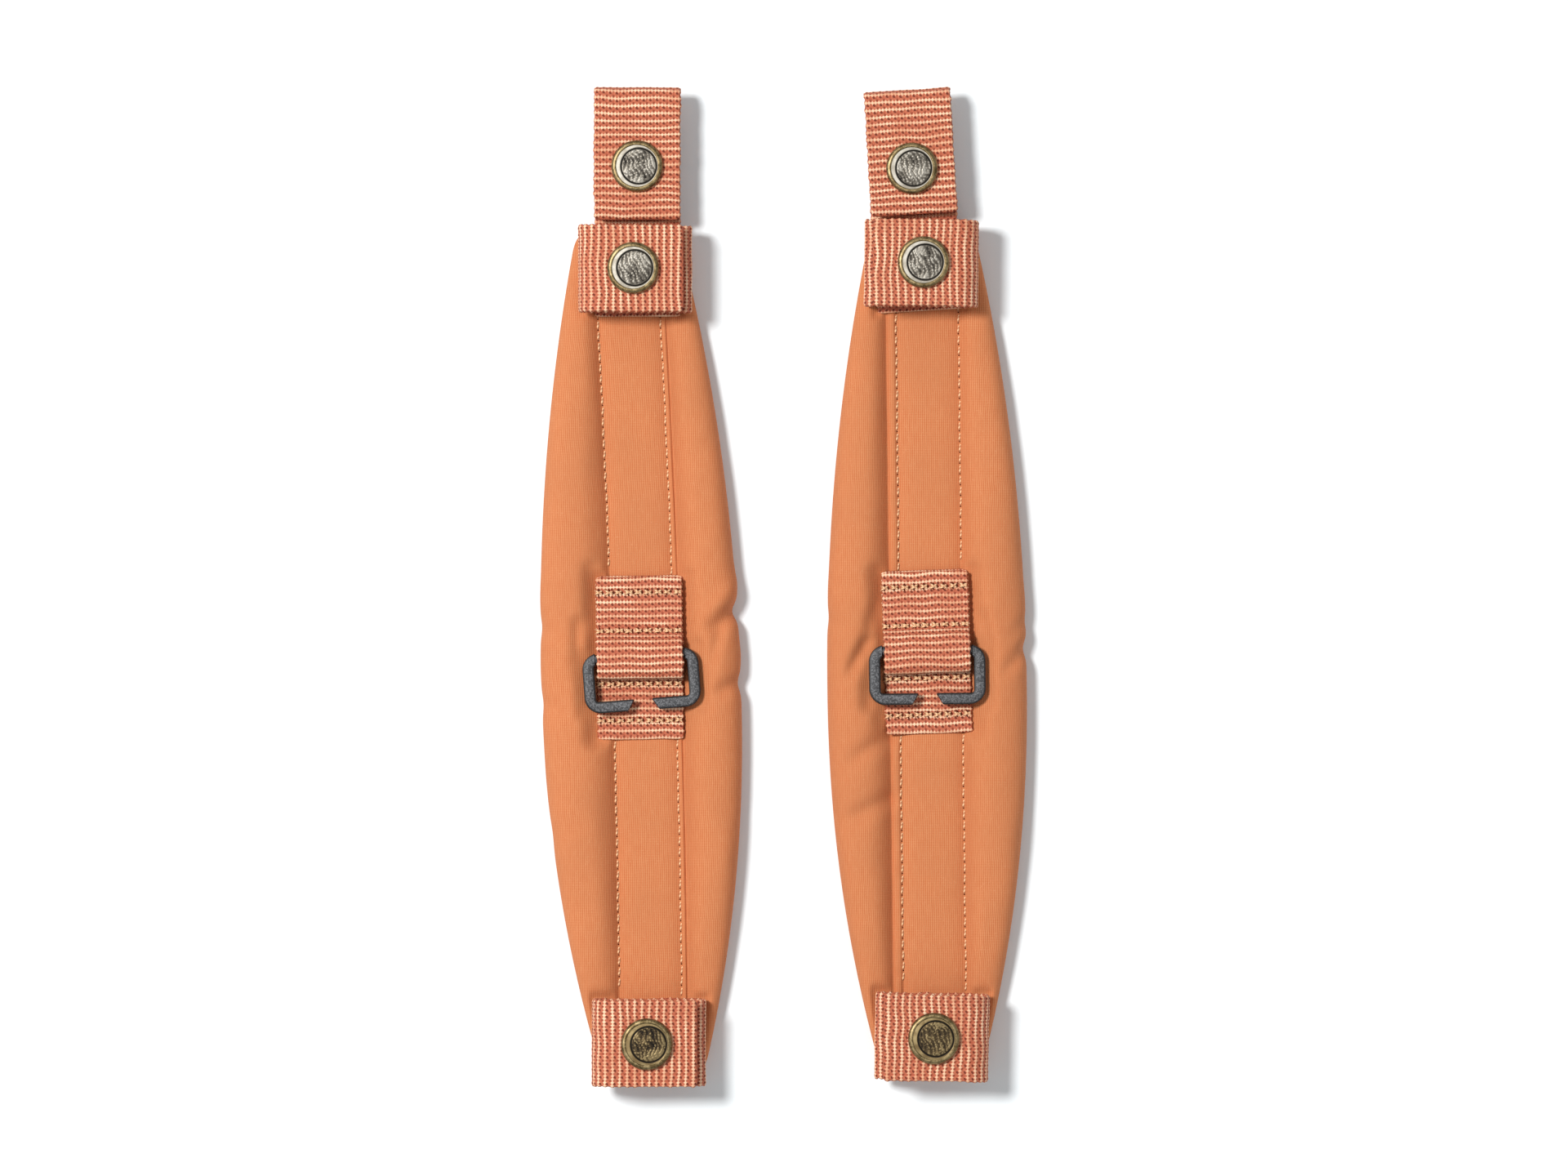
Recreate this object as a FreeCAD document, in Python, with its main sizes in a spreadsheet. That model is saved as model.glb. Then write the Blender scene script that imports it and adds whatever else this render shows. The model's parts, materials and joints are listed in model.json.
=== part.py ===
import FreeCAD, Part

import math
import operator
import os

import Sketcher

# A pair of padded covers for the shoulder straps of a pack. Each cover is a foam pad in two
# skins with three webbing fittings: a snap loop past its top end, a snap band across each end,
# and an open wire hook in a webbing keeper at the middle.
#
# Millimetres. The pads lie flat, side by side: X runs across the pair, Y along the pads with
# the loops at +Y, and Z is up from the surface they lie on. "Outward" on a pad is away from
# the other pad.

SIZES = (
    # alias, value, what it is
    ("pad_length", 245.0, "length of a pad without its loop"),
    ("pad_width", 58.4, "width of a pad at its widest"),
    ("pad_end_width", 30.0, "width of a pad at its two ends"),
    ("widest_drop", 12.0, "how far below its middle a pad is widest"),
    ("taper_power", 2.1, "how late the sides of a pad turn in"),
    ("seat_height", 6.5, "height of the flat strip that the fittings are sewn to"),
    ("seat_margin", 1.1, "how far the flat strip stands out beside the hook"),
    ("wing_rise", 6.0, "how far the padded wings stand above the flat strip"),
    ("sole_share", 0.78, "width of the flat underside over the width of the pad"),
    ("seam_height", 4.0, "height of the edge seam between the two skins"),
    ("cover_thick", 0.5, "thickness of a fabric skin"),
    ("skin_gap", 0.15, "clearance between a skin and the foam, and between the skins"),
    ("web_width", 25.4, "width of the webbing"),
    ("web_thick", 1.2, "thickness of the webbing"),
    ("band_inset_top", 10.6, "middle of the top band to the pad's end"),
    ("band_inset_bottom", 9.2, "middle of the bottom band to the pad's end"),
    ("band_outer_reach", 16.1, "snap axis to the band's fold on the outward side"),
    ("band_inner_reach", 17.1, "snap axis to the band's fold on the inward side"),
    ("flap_end_reach", 14.6, "snap axis to the free end of the band's flap"),
    ("tab_end_reach", 7.2, "snap axis to the free end of the band's tab"),
    ("sleeve_gap", 4.8, "height inside a band, between its base and its tab"),
    ("loop_tail", 0.9, "how far the loop's tail shows below the top band"),
    ("loop_end_gap", 1.7, "free end of the loop's flap to the top band"),
    ("loop_snap_reach", 23.2, "fold of the loop to its snap axis"),
    ("keeper_length", 47.6, "length of the keeper's lower webbing"),
    ("keeper_middle", -1.2, "middle of the keeper from the middle of the pad"),
    ("keeper_rise_at", 16.8, "top of the keeper to where its loop leaves the pad"),
    ("keeper_loop_end", 30.2, "top of the keeper to the end of its loop"),
    ("keeper_bar_at", 23.4, "top of the keeper to the hook's crossbar"),
    ("hook_side_play", 0.9, "clearance on each side of the webbing in the hook"),
    ("hook_depth", 17.5, "outer depth of the hook, across its crossbar"),
    ("hook_bar", 3.4, "width of the hook's flat bars"),
    ("hook_thick", 3.0, "thickness of the hook's flat bars"),
    ("crossbar_width", 2.6, "diameter of the hook's round crossbar"),
    ("crossbar_root", 0.4, "how far the crossbar runs into each arm"),
    ("hook_corner", 4.8, "outer corner radius of the hook"),
    ("hook_mouth", 5.0, "mouth of the hook at its inner edge"),
    ("hook_mouth_flare", 1.8, "how far each end of the mouth slants back"),
    ("hook_play", 0.4, "clearance round the crossbar in the keeper's loop"),
    ("snap_gap", 4.2, "gap between the two webbings that a snap joins"),
    ("cap_radius", 7.5, "radius of the snap's cap"),
    ("cap_height", 2.0, "height of the cap above the webbing"),
    ("cap_dish", 0.45, "depth of the ring groove inside the cap's rim"),
    ("cap_rim", 1.3, "width of the cap's rim"),
    ("cap_round", 0.9, "edge rounding of the cap"),
    ("shank_radius", 2.0, "radius of the cap's shank through the webbing"),
    ("hole_play", 0.15, "clearance round a shank in the webbing"),
    ("socket_wall", 2.7, "wall of the snap's socket round its opening"),
    ("socket_roof", 0.8, "thickness of the socket above its opening"),
    ("stud_radius", 2.4, "radius of the stud that the socket grips"),
    ("stud_swing_play", 1.1, "clearance round the stud in the socket, for the flap's swing"),
    ("stud_top_play", 0.9, "clearance over the stud in the socket"),
    ("stud_wall", 0.5, "wall of the hollow stud"),
    ("flange_radius", 5.4, "radius of the stud's flange and of the post's head"),
    ("flange_thick", 0.45, "thickness of the stud's flange and of the post's head"),
    ("snap_play", 0.2, "clearance between the parts of a snap"),
    ("pair_spacing", 83.4, "distance between the middles of the two pads"),
    ("left_x", -0.25, "how far the left pad lies off its place in the pair"),
    ("left_y", -19.55, "middle of the left pad along the pair"),
    ("left_lean", 1.75, "degrees that the left pad leans"),
    ("left_top_shift", -1.7, "left top band off the pad's middle line, outward"),
    ("left_top_turn", -1.75, "degrees between the left top band and its pad"),
    ("left_bottom_shift", 1.2, "left bottom band off the pad's middle line, outward"),
    ("left_bottom_turn", -1.75, "degrees between the left bottom band and its pad"),
    ("left_loop_shift", -2.7, "left loop off the pad's middle line, outward"),
    ("left_loop_turn", -1.75, "degrees between the left loop and its pad"),
    ("left_loop_reach", 53.1, "fold of the left loop to the middle of the top band"),
    ("left_keeper_turn", -1.0, "degrees between the left keeper and its pad"),
    ("left_hook_turn", 2.6, "degrees between the left hook and its pad"),
    ("right_x", 0.1, "how far the right pad lies off its place in the pair"),
    ("right_y", -17.9, "middle of the right pad along the pair"),
    ("right_lean", 0.45, "degrees that the right pad leans"),
    ("right_top_shift", -0.4, "right top band off the pad's middle line, outward"),
    ("right_top_turn", -1.3, "degrees between the right top band and its pad"),
    ("right_bottom_shift", 0.9, "right bottom band off the pad's middle line, outward"),
    ("right_bottom_turn", -1.6, "degrees between the right bottom band and its pad"),
    ("right_loop_shift", -1.9, "right loop off the pad's middle line, outward"),
    ("right_loop_turn", 3.1, "degrees between the right loop and its pad"),
    ("right_loop_reach", 50.9, "fold of the right loop to the middle of the top band"),
    ("right_keeper_turn", 1.5, "degrees between the right keeper and its pad"),
    ("right_hook_turn", 0.2, "degrees between the right hook and its pad"),
)

SIDES = {"left": -1, "right": 1}  # the sign of X on each pad's outward side
OPERATIONS = {"+": operator.add, "-": operator.sub, "*": operator.mul, "/": operator.truediv}

doc = FreeCAD.newDocument("StrapPads")
sheet = doc.addObject("Spreadsheet::Sheet", "Sizes")
for row, (alias, number, meaning) in enumerate(SIZES, start=1):
    sheet.set(f"A{row}", alias)
    sheet.set(f"B{row}", str(number))
    sheet.setAlias(f"B{row}", alias)
    sheet.set(f"C{row}", meaning)
doc.recompute()


class Size:
    """A size with its value and the sheet expression that it comes from."""

    def __init__(self, value, text):
        self.value = value
        self.text = text

    def __add__(self, other):
        return combine(self, "+", other)

    def __sub__(self, other):
        return combine(self, "-", other)

    def __mul__(self, other):
        return combine(self, "*", other)

    def __truediv__(self, other):
        return combine(self, "/", other)

    def __neg__(self):
        return combine(0.0, "-", self)


def as_size(number):
    return number if isinstance(number, Size) else Size(float(number), repr(float(number)))


def combine(left, sign, right):
    left = as_size(left)
    right = as_size(right)
    value = OPERATIONS[sign](left.value, right.value)
    return Size(value, f"({left.text} {sign} {right.text})")


def root(of):
    return Size(math.sqrt(of.value), f"sqrt({of.text})")


def size(alias):
    return Size(float(sheet.get(alias)), f"Sizes.{alias}")


def value(alias):
    return float(sheet.get(alias))


ZERO = as_size(0.0)

# Heights and radii that several pieces share
WEB = size("web_thick")
HALF_WEB = size("web_width") / 2
SNAP_GAP = size("snap_gap")
TAB_BOTTOM = WEB + size("sleeve_gap")
TAB_TOP = TAB_BOTTOM + WEB
FLAP_BOTTOM = TAB_TOP + SNAP_GAP
FLAP_FOLD = (FLAP_BOTTOM + WEB) / 2  # outer radius of the fold between base and flap
TAB_FOLD = TAB_TOP / 2  # outer radius of the fold between base and tab
LOOP_FLAP_BOTTOM = WEB + SNAP_GAP
LOOP_FOLD = (LOOP_FLAP_BOTTOM + WEB) / 2
FLAP_PIVOT = size("band_outer_reach") - FLAP_FOLD
TAB_PIVOT = size("band_inner_reach") - TAB_FOLD
SHANK_HOLE = size("shank_radius") + size("hole_play")
STUD_HOLLOW = size("stud_radius") - size("stud_wall")
STUD_HEIGHT = SNAP_GAP - size("socket_roof") - size("stud_top_play")
BARREL_RADIUS = STUD_HOLLOW - size("snap_play") / 2
BARREL_HOLE = BARREL_RADIUS + size("hole_play")
SOCKET_BORE = size("stud_radius") + size("stud_swing_play")
SOCKET_RADIUS = SOCKET_BORE + size("socket_wall")
HALF_HOOK = HALF_WEB + size("hook_side_play") + size("hook_bar")
BAR_RADIUS = size("crossbar_width") / 2
CAVITY = size("crossbar_width") + size("hook_play") * 2
KEEPER_HEIGHT = WEB * 2 + CAVITY
BAR_HEIGHT = WEB * 2 + CAVITY / 2  # of the crossbar above the flat strip


# --- sketches and features ---------------------------------------------------------------


def new_body(name):
    body = doc.addObject("PartDesign::Body", name)
    body.Label = name
    return body


def new_sketch(body, role):
    """A sketch on the body's own origin plane that has this role."""
    plane = next(item for item in body.Origin.OriginFeatures if item.Role == role)
    sketch = body.newObject("Sketcher::SketchObject", f"{body.Name}_{role}_sketch")
    sketch.AttachmentSupport = [(plane, "")]
    sketch.MapMode = "FlatFace"
    return sketch


def tie(sketch, kind, edge, end, distance):
    """Ties one end of an edge to its distance from the sketch's origin."""
    index = sketch.addConstraint(Sketcher.Constraint(kind, -1, 1, edge, end, distance.value))
    sketch.setExpression(f"Constraints[{index}]", distance.text)


def bend(start, end, centre):
    """The arc of under half a turn between two points, and whether it runs backwards."""
    start_angle = math.atan2(start.y - centre.y, start.x - centre.x)
    end_angle = math.atan2(end.y - centre.y, end.x - centre.x)
    backwards = (end_angle - start_angle) % (2 * math.pi) > math.pi
    if backwards:
        start_angle, end_angle = end_angle, start_angle
    circle = Part.Circle(centre, FreeCAD.Vector(0, 0, 1), start.distanceToPoint(centre))
    return Part.ArcOfCircle(circle, start_angle, end_angle), backwards


def draw_outline(sketch, corners, arcs=None):
    """Draws a closed outline through corners. arcs gives the centre of each bent edge by the
    number of the corner that it starts from."""
    arcs = arcs or {}
    points = [FreeCAD.Vector(x.value, y.value, 0) for x, y in corners]
    edges = []
    for number, start in enumerate(points):
        end = points[(number + 1) % len(points)]
        backwards = False
        if number in arcs:
            centre = FreeCAD.Vector(arcs[number][0].value, arcs[number][1].value, 0)
            geometry, backwards = bend(start, end, centre)
        else:
            geometry = Part.LineSegment(start, end)
        index = sketch.addGeometry(geometry, False)
        edges.append((index, 2, 1) if backwards else (index, 1, 2))
    for number, (index, start, end) in enumerate(edges):
        following, next_start, _ = edges[(number + 1) % len(edges)]
        sketch.addConstraint(Sketcher.Constraint("Coincident", index, end, following, next_start))
        tie(sketch, "DistanceX", index, start, corners[number][0])
        tie(sketch, "DistanceY", index, start, corners[number][1])
        if number in arcs:
            tie(sketch, "DistanceX", index, 3, arcs[number][0])


def draw_circle(sketch, x, y, radius):
    centre = FreeCAD.Vector(x.value, y.value, 0)
    circle = Part.Circle(centre, FreeCAD.Vector(0, 0, 1), radius.value)
    index = sketch.addGeometry(circle, False)
    tie(sketch, "DistanceX", index, 3, x)
    tie(sketch, "DistanceY", index, 3, y)
    number = sketch.addConstraint(Sketcher.Constraint("Radius", index, radius.value))
    sketch.setExpression(f"Constraints[{number}]", radius.text)


def draw_rectangle(sketch, left, right, low, high):
    draw_outline(sketch, [(left, low), (right, low), (right, high), (left, high)])


def add_pad(body, sketch, depth, symmetric=False):
    pad = body.newObject("PartDesign::Pad", f"{sketch.Name}_pad")
    pad.Profile = sketch
    pad.SideType = "Symmetric" if symmetric else "One side"
    pad.setExpression("Length", depth.text)
    return pad


def revolve(body, corners):
    """Turns an outline of radii and heights about the body's Z axis."""
    sketch = new_sketch(body, "XZ_Plane")
    draw_outline(sketch, corners)
    turn = body.newObject("PartDesign::Revolution", f"{body.Name}_turn")
    turn.Profile = sketch
    turn.ReferenceAxis = (sketch, ["V_Axis"])
    turn.Angle = 360
    return turn


def round_edges(body, feature, wanted, radius):
    """Fillets the edges of feature that wanted() picks."""
    doc.recompute()
    names = [
        f"Edge{number}"
        for number, edge in enumerate(feature.Shape.Edges, start=1)
        if wanted(edge)
    ]
    fillet = body.newObject("PartDesign::Fillet", f"{feature.Name}_rounding")
    fillet.Base = (feature, names)
    fillet.setExpression("Radius", radius.text)
    return fillet


# --- places ------------------------------------------------------------------------------


def turned(x, y, z, degrees=0.0):
    rotation = FreeCAD.Rotation(FreeCAD.Vector(0, 0, 1), degrees)
    return FreeCAD.Placement(FreeCAD.Vector(x, y, z), rotation)


def pad_frame(side):
    """The middle of a pad, on the surface that it lies on, with Y along the pad."""
    x = SIDES[side] * value("pair_spacing") / 2 + value(f"{side}_x")
    return turned(x, value(f"{side}_y"), 0, value(f"{side}_lean"))


def band_middle(end):
    """How far along the pad the middle of the top or the bottom band is."""
    half = value("pad_length") / 2
    if end == "top":
        return half - value("band_inset_top")
    return value("band_inset_bottom") - half


def band_frame(side, end):
    """The foot of a band's snap axis on the pad, with X outward."""
    sign = SIDES[side]
    height = value("seat_height")
    if end == "top":
        height += value("web_thick")  # the loop's tail lies under the top band
    outward = turned(0, 0, 0, 0 if sign > 0 else 180)
    shift = sign * value(f"{side}_{end}_shift")
    place = turned(shift, band_middle(end), height, value(f"{side}_{end}_turn"))
    return pad_frame(side) * place * outward


def loop_frame(side):
    """The middle of the top band on the loop's own middle line, on top of the pad."""
    shift = SIDES[side] * value(f"{side}_loop_shift")
    turn = value(f"{side}_loop_turn")
    return pad_frame(side) * turned(shift, band_middle("top"), value("seat_height"), turn)


def keeper_frame(side):
    """The top edge of the keeper, on top of the pad."""
    turn = turned(0, 0, 0, value(f"{side}_keeper_turn"))
    middle = turned(0, value("keeper_middle"), value("seat_height"))
    return pad_frame(side) * middle * turn * turned(0, value("keeper_length") / 2, 0)


def hook_frame(side):
    """The middle of the hook's crossbar, with X along the bar."""
    bar = turned(0, -value("keeper_bar_at"), BAR_HEIGHT.value)
    turn = value(f"{side}_hook_turn") - value(f"{side}_keeper_turn")
    return keeper_frame(side) * bar * turned(0, 0, 0, turn)


# --- the padded body ---------------------------------------------------------------------

STATIONS = 21  # cross-sections along a pad
CURVE_STEPS = 5  # spans in each curve of a cross-section
RISE_POWER = 4  # how late the wings sink towards the bands
WING_CLEAR = 8.0  # from a band's edge to where the wings have sunk
SOLE_TRIM = 0.05  # how far the sole is drawn below the surface that it is pressed flat on


def seat_width(along):
    """Half the width of the flat strip at this distance from the middle of a pad."""
    at_widest = HALF_HOOK.value + value("seat_margin")
    return at_widest * half_width(along) / (value("pad_width") / 2)


def half_width(along):
    """Half the width of a pad at this distance from its middle."""
    end = value("pad_end_width") / 2
    from_widest = along + value("widest_drop")
    half_length = value("pad_length") / 2
    reach = half_length + math.copysign(value("widest_drop"), from_widest)
    share = min(abs(from_widest) / reach, 1.0)
    return end + (value("pad_width") / 2 - end) * (1 - share ** value("taper_power"))


def rise(along):
    """How far the wings stand above the flat strip at this distance from the middle."""
    end = "top" if along > 0 else "bottom"
    flat_from = abs(band_middle(end)) - value("web_width") / 2 - WING_CLEAR
    share = min(abs(along) / flat_from, 1.0)
    return value("wing_rise") * (1 - share**RISE_POWER) ** 2


def spline(points):
    curve = Part.BSplineCurve()
    curve.interpolate(points)
    return curve.toShape()


def wing_curve(along, inset, seam, sign):
    """From the edge of the flat strip over a wing to the edge seam, inset from the skin."""
    width = half_width(along) - inset
    seat = seat_width(along)
    height = value("seat_height") - inset
    points = []
    for step in range(CURVE_STEPS + 1):
        angle = step / CURVE_STEPS * math.pi / 2
        x = seat + (width - seat) * math.sin(angle)
        z = seam + (height - seam) * math.cos(angle) + rise(along) * math.sin(2 * angle)
        points.append(FreeCAD.Vector(sign * x, along, z))
    return points


def sole_curve(along, inset, seam, sign):
    """From the edge seam round to the flat underside, inset from the skin."""
    width = half_width(along) - inset
    sole = value("sole_share") * half_width(along)
    low = inset - SOLE_TRIM
    points = []
    for step in range(CURVE_STEPS + 1):
        angle = step / CURVE_STEPS * math.pi / 2
        x = sole + (width - sole) * math.cos(angle)
        z = low + (seam - low) * (1 - math.sin(angle))
        points.append(FreeCAD.Vector(sign * x, along, z))
    return points


def half_outline(along, inset, seam, curve):
    """The three edges of one face of the pad, from its right side to its left."""
    right = curve(along, inset, seam, 1)
    left = curve(along, inset, seam, -1)
    if curve is wing_curve:
        right.reverse()
    else:
        left.reverse()
    flat = Part.LineSegment(right[-1], left[0])
    return [spline(right), flat.toShape(), spline(left)]


def reverse_edges(edges):
    return [edge.reversed() for edge in edges[::-1]]


def stations():
    half = value("pad_length") / 2
    return [half * (2 * number / (STATIONS - 1) - 1) for number in range(STATIONS)]


def loft(section):
    """A solid through the closed outline that section(along) gives at each station."""
    wires = [Part.Wire(Part.__sortEdges__(section(along))) for along in stations()]
    return Part.makeLoft(wires, True, False)


def foam_section(along):
    inset = value("cover_thick") + value("skin_gap")
    seam = value("seam_height")
    top = half_outline(along, inset, seam, wing_curve)
    sole = half_outline(along, inset, seam, sole_curve)
    return top + reverse_edges(sole)


def skin_section(along, curve, seam):
    """A skin: its outer face, its inner face and the two edges between them."""
    outer = half_outline(along, 0.0, seam, curve)
    inner = half_outline(along, value("cover_thick"), seam, curve)
    links = [
        Part.LineSegment(a.valueAt(p), b.valueAt(q)).toShape()
        for a, p, b, q in (
            (outer[0], outer[0].FirstParameter, inner[0], inner[0].FirstParameter),
            (outer[2], outer[2].LastParameter, inner[2], inner[2].LastParameter),
        )
    ]
    return outer + [links[1]] + reverse_edges(inner) + [links[0]]


def build_padding(side):
    """The foam core and its two skins, which meet at the edge seam."""
    seam = value("seam_height")
    half_gap = value("skin_gap") / 2
    width = value("pad_width") * 2
    length = value("pad_length") * 2
    below = Part.makeBox(width, length, 1, FreeCAD.Vector(-width / 2, -length / 2, -1))
    back = loft(lambda along: skin_section(along, sole_curve, seam - half_gap))
    shapes = {
        "foam_core": loft(foam_section),
        "front_cover": loft(lambda along: skin_section(along, wing_curve, seam + half_gap)),
        "back_cover": back.cut(below),
    }
    for name, shape in shapes.items():
        piece = doc.addObject("Part::Feature", f"{side}_{name}")
        piece.Label = f"{side}_{name}"
        piece.Shape = shape
        piece.Placement = pad_frame(side)
        sub_parts.append(piece)


# --- webbing -----------------------------------------------------------------------------


def web_plate(name, left, right, low, high, bottom, frame, hole=None):
    """A flat length of webbing at a height. hole is the place and radius of a hole in it."""
    body = new_body(name)
    sketch = new_sketch(body, "XY_Plane")
    draw_rectangle(sketch, left, right, low, high)
    if hole:
        draw_circle(sketch, *hole)
    add_pad(body, sketch, WEB)
    body.Placement = frame * turned(0, 0, bottom.value)
    sub_parts.append(body)


def draw_fold(sketch, x, y, radius, sign):
    """A half ring of webbing that bulges towards sign, about x, y."""
    inner = radius - WEB
    out = radius if sign > 0 else -radius
    inside = inner if sign > 0 else -inner
    corners = [
        (x, y - radius),
        (x + out, y),
        (x, y + radius),
        (x, y + inner),
        (x + inside, y),
        (x, y - inner),
    ]
    draw_outline(sketch, corners, {0: (x, y), 1: (x, y), 3: (x, y), 4: (x, y)})


def build_band(side, end):
    """A band across the pad: one webbing in four lengths, base, folds, flap and tab."""
    frame = band_frame(side, end)
    name = f"{side}_{end}_band"
    shank = (ZERO, ZERO, SHANK_HOLE)
    barrel = (ZERO, ZERO, BARREL_HOLE)
    web_plate(f"{name}_base", -TAB_PIVOT, FLAP_PIVOT, -HALF_WEB, HALF_WEB, ZERO, frame)
    flap_end = -size("flap_end_reach")
    web_plate(f"{name}_flap", flap_end, FLAP_PIVOT, -HALF_WEB, HALF_WEB, FLAP_BOTTOM, frame, shank)
    tab_end = size("tab_end_reach")
    web_plate(f"{name}_tab", -TAB_PIVOT, tab_end, -HALF_WEB, HALF_WEB, TAB_BOTTOM, frame, barrel)
    folds = new_body(f"{name}_folds")
    folds.AllowCompound = True
    sketch = new_sketch(folds, "XZ_Plane")
    draw_fold(sketch, FLAP_PIVOT, FLAP_FOLD, FLAP_FOLD, 1)
    draw_fold(sketch, -TAB_PIVOT, TAB_FOLD, TAB_FOLD, -1)
    add_pad(folds, sketch, size("web_width"), symmetric=True)
    folds.Placement = frame
    sub_parts.append(folds)


def build_loop(side):
    """The snap loop past the top end: a tail under the top band, a fold and a flap."""
    frame = loop_frame(side)
    name = f"{side}_loop"
    reach = size(f"{side}_loop_reach")
    pivot = reach - LOOP_FOLD
    snap = reach - size("loop_snap_reach")
    shank = (ZERO, snap, SHANK_HOLE)
    barrel = (ZERO, snap, BARREL_HOLE)
    tail = -HALF_WEB - size("loop_tail")
    web_plate(f"{name}_base", -HALF_WEB, HALF_WEB, tail, pivot, ZERO, frame, barrel)
    flap_end = HALF_WEB + size("loop_end_gap")
    web_plate(
        f"{name}_flap", -HALF_WEB, HALF_WEB, flap_end, pivot, LOOP_FLAP_BOTTOM, frame, shank
    )
    fold = new_body(f"{name}_fold")
    sketch = new_sketch(fold, "YZ_Plane")
    draw_fold(sketch, pivot, LOOP_FOLD, LOOP_FOLD, 1)
    add_pad(fold, sketch, size("web_width"), symmetric=True)
    fold.Placement = frame
    sub_parts.append(fold)


def build_keeper(side):
    """The hook's keeper: a flat lower webbing, and an upper one that loops round the hook."""
    frame = keeper_frame(side)
    low = -size("keeper_length")
    web_plate(f"{side}_keeper_base", -HALF_WEB, HALF_WEB, low, ZERO, ZERO, frame)
    loop = new_body(f"{side}_hook_loop")
    sketch = new_sketch(loop, "YZ_Plane")
    low_level = WEB
    doubled = WEB * 3
    roof = WEB + KEEPER_HEIGHT
    middle = (low_level + roof) / 2
    end = -size("keeper_loop_end")
    bend_at = end + KEEPER_HEIGHT / 2
    rise_at = -size("keeper_rise_at")
    top_at = rise_at - CAVITY
    draw_outline(
        sketch,
        [
            (ZERO, low_level),
            (ZERO, doubled),
            (rise_at, doubled),
            (top_at, roof),
            (bend_at, roof),
            (end, middle),
            (bend_at, low_level),
        ],
        {4: (bend_at, middle), 5: (bend_at, middle)},
    )
    floor = WEB * 2
    ceiling = floor + CAVITY
    cavity_end = end + WEB
    draw_outline(
        sketch,
        [
            (rise_at - WEB / 2, floor),
            (top_at, ceiling),
            (bend_at, ceiling),
            (cavity_end, middle),
            (bend_at, floor),
        ],
        {2: (bend_at, middle), 3: (bend_at, middle)},
    )
    add_pad(loop, sketch, size("web_width"), symmetric=True)
    loop.Placement = frame
    sub_parts.append(loop)


# --- hardware ----------------------------------------------------------------------------


def build_hook(side):
    """The open wire hook: a round crossbar with a flat bent arm at each end."""
    body = new_body(f"{side}_hook")
    half = HALF_HOOK
    inner = half - size("hook_bar")
    bar_sketch = new_sketch(body, "YZ_Plane")
    draw_circle(bar_sketch, ZERO, ZERO, BAR_RADIUS)
    add_pad(body, bar_sketch, (inner + size("crossbar_root")) * 2, symmetric=True)
    top = size("hook_bar") / 2
    bottom = top - size("hook_depth")
    corner = size("hook_corner")
    lip = size("hook_mouth") / 2
    from_centre = inner - half + corner  # of the upper corner's arc, where the crossbar joins
    shoulder = top - corner + root(corner * corner - from_centre * from_centre)
    arm_sketch = new_sketch(body, "XY_Plane")
    draw_outline(
        arm_sketch,
        [
            (inner, shoulder),
            (half, top - corner),
            (half, bottom + corner),
            (half - corner, bottom),
            (lip + size("hook_mouth_flare"), bottom),
            (lip, bottom + size("hook_bar")),
            (inner, bottom + size("hook_bar")),
        ],
        {0: (half - corner, top - corner), 2: (half - corner, bottom + corner)},
    )
    arm = add_pad(body, arm_sketch, size("hook_thick"), symmetric=True)
    doc.recompute()
    mirror = body.newObject("PartDesign::Mirrored", f"{side}_hook_mirror")
    mirror.Originals = [arm]
    mirror.MirrorPlane = (arm_sketch, ["V_Axis"])
    body.Tip = mirror
    body.Placement = hook_frame(side)
    sub_parts.append(body)


def cap_corners():
    """The cap above the webbing's top at height 0, and its shank down into the socket."""
    rim = size("cap_radius")
    dish = rim - size("cap_rim")
    height = size("cap_height")
    shank = size("shank_radius")
    foot = -WEB - size("socket_roof") + size("snap_play") / 2
    return [
        (ZERO, foot),
        (shank, foot),
        (shank, ZERO),
        (rim, ZERO),
        (rim, height),
        (dish, height),
        (dish - size("cap_dish"), height - size("cap_dish")),
        (ZERO, height - size("cap_dish") / 2),
    ]


def socket_corners():
    """The socket below the flap's underside at height 0, open downwards."""
    foot = size("flange_thick") + size("snap_play") - SNAP_GAP
    return [
        (SHANK_HOLE, ZERO),
        (SOCKET_RADIUS, ZERO),
        (SOCKET_RADIUS, foot),
        (SOCKET_BORE, foot),
        (SOCKET_BORE, -size("socket_roof")),
        (SHANK_HOLE, -size("socket_roof")),
    ]


def stud_corners():
    """The hollow stud on the lower webbing's top at height 0."""
    flange = size("flange_thick")
    roof = STUD_HEIGHT - size("stud_wall")
    return [
        (STUD_HOLLOW, ZERO),
        (size("flange_radius"), ZERO),
        (size("flange_radius"), flange),
        (size("stud_radius"), flange),
        (size("stud_radius"), STUD_HEIGHT),
        (ZERO, STUD_HEIGHT),
        (ZERO, roof),
        (STUD_HOLLOW, roof),
    ]


def post_corners():
    """The post's head under the lower webbing, and its barrel up into the stud."""
    barrel_top = STUD_HEIGHT - size("stud_wall") - size("snap_play")
    head = -WEB - size("flange_thick")
    return [
        (ZERO, head),
        (size("flange_radius"), head),
        (size("flange_radius"), -WEB),
        (BARREL_RADIUS, -WEB),
        (BARREL_RADIUS, barrel_top),
        (ZERO, barrel_top),
    ]


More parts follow.
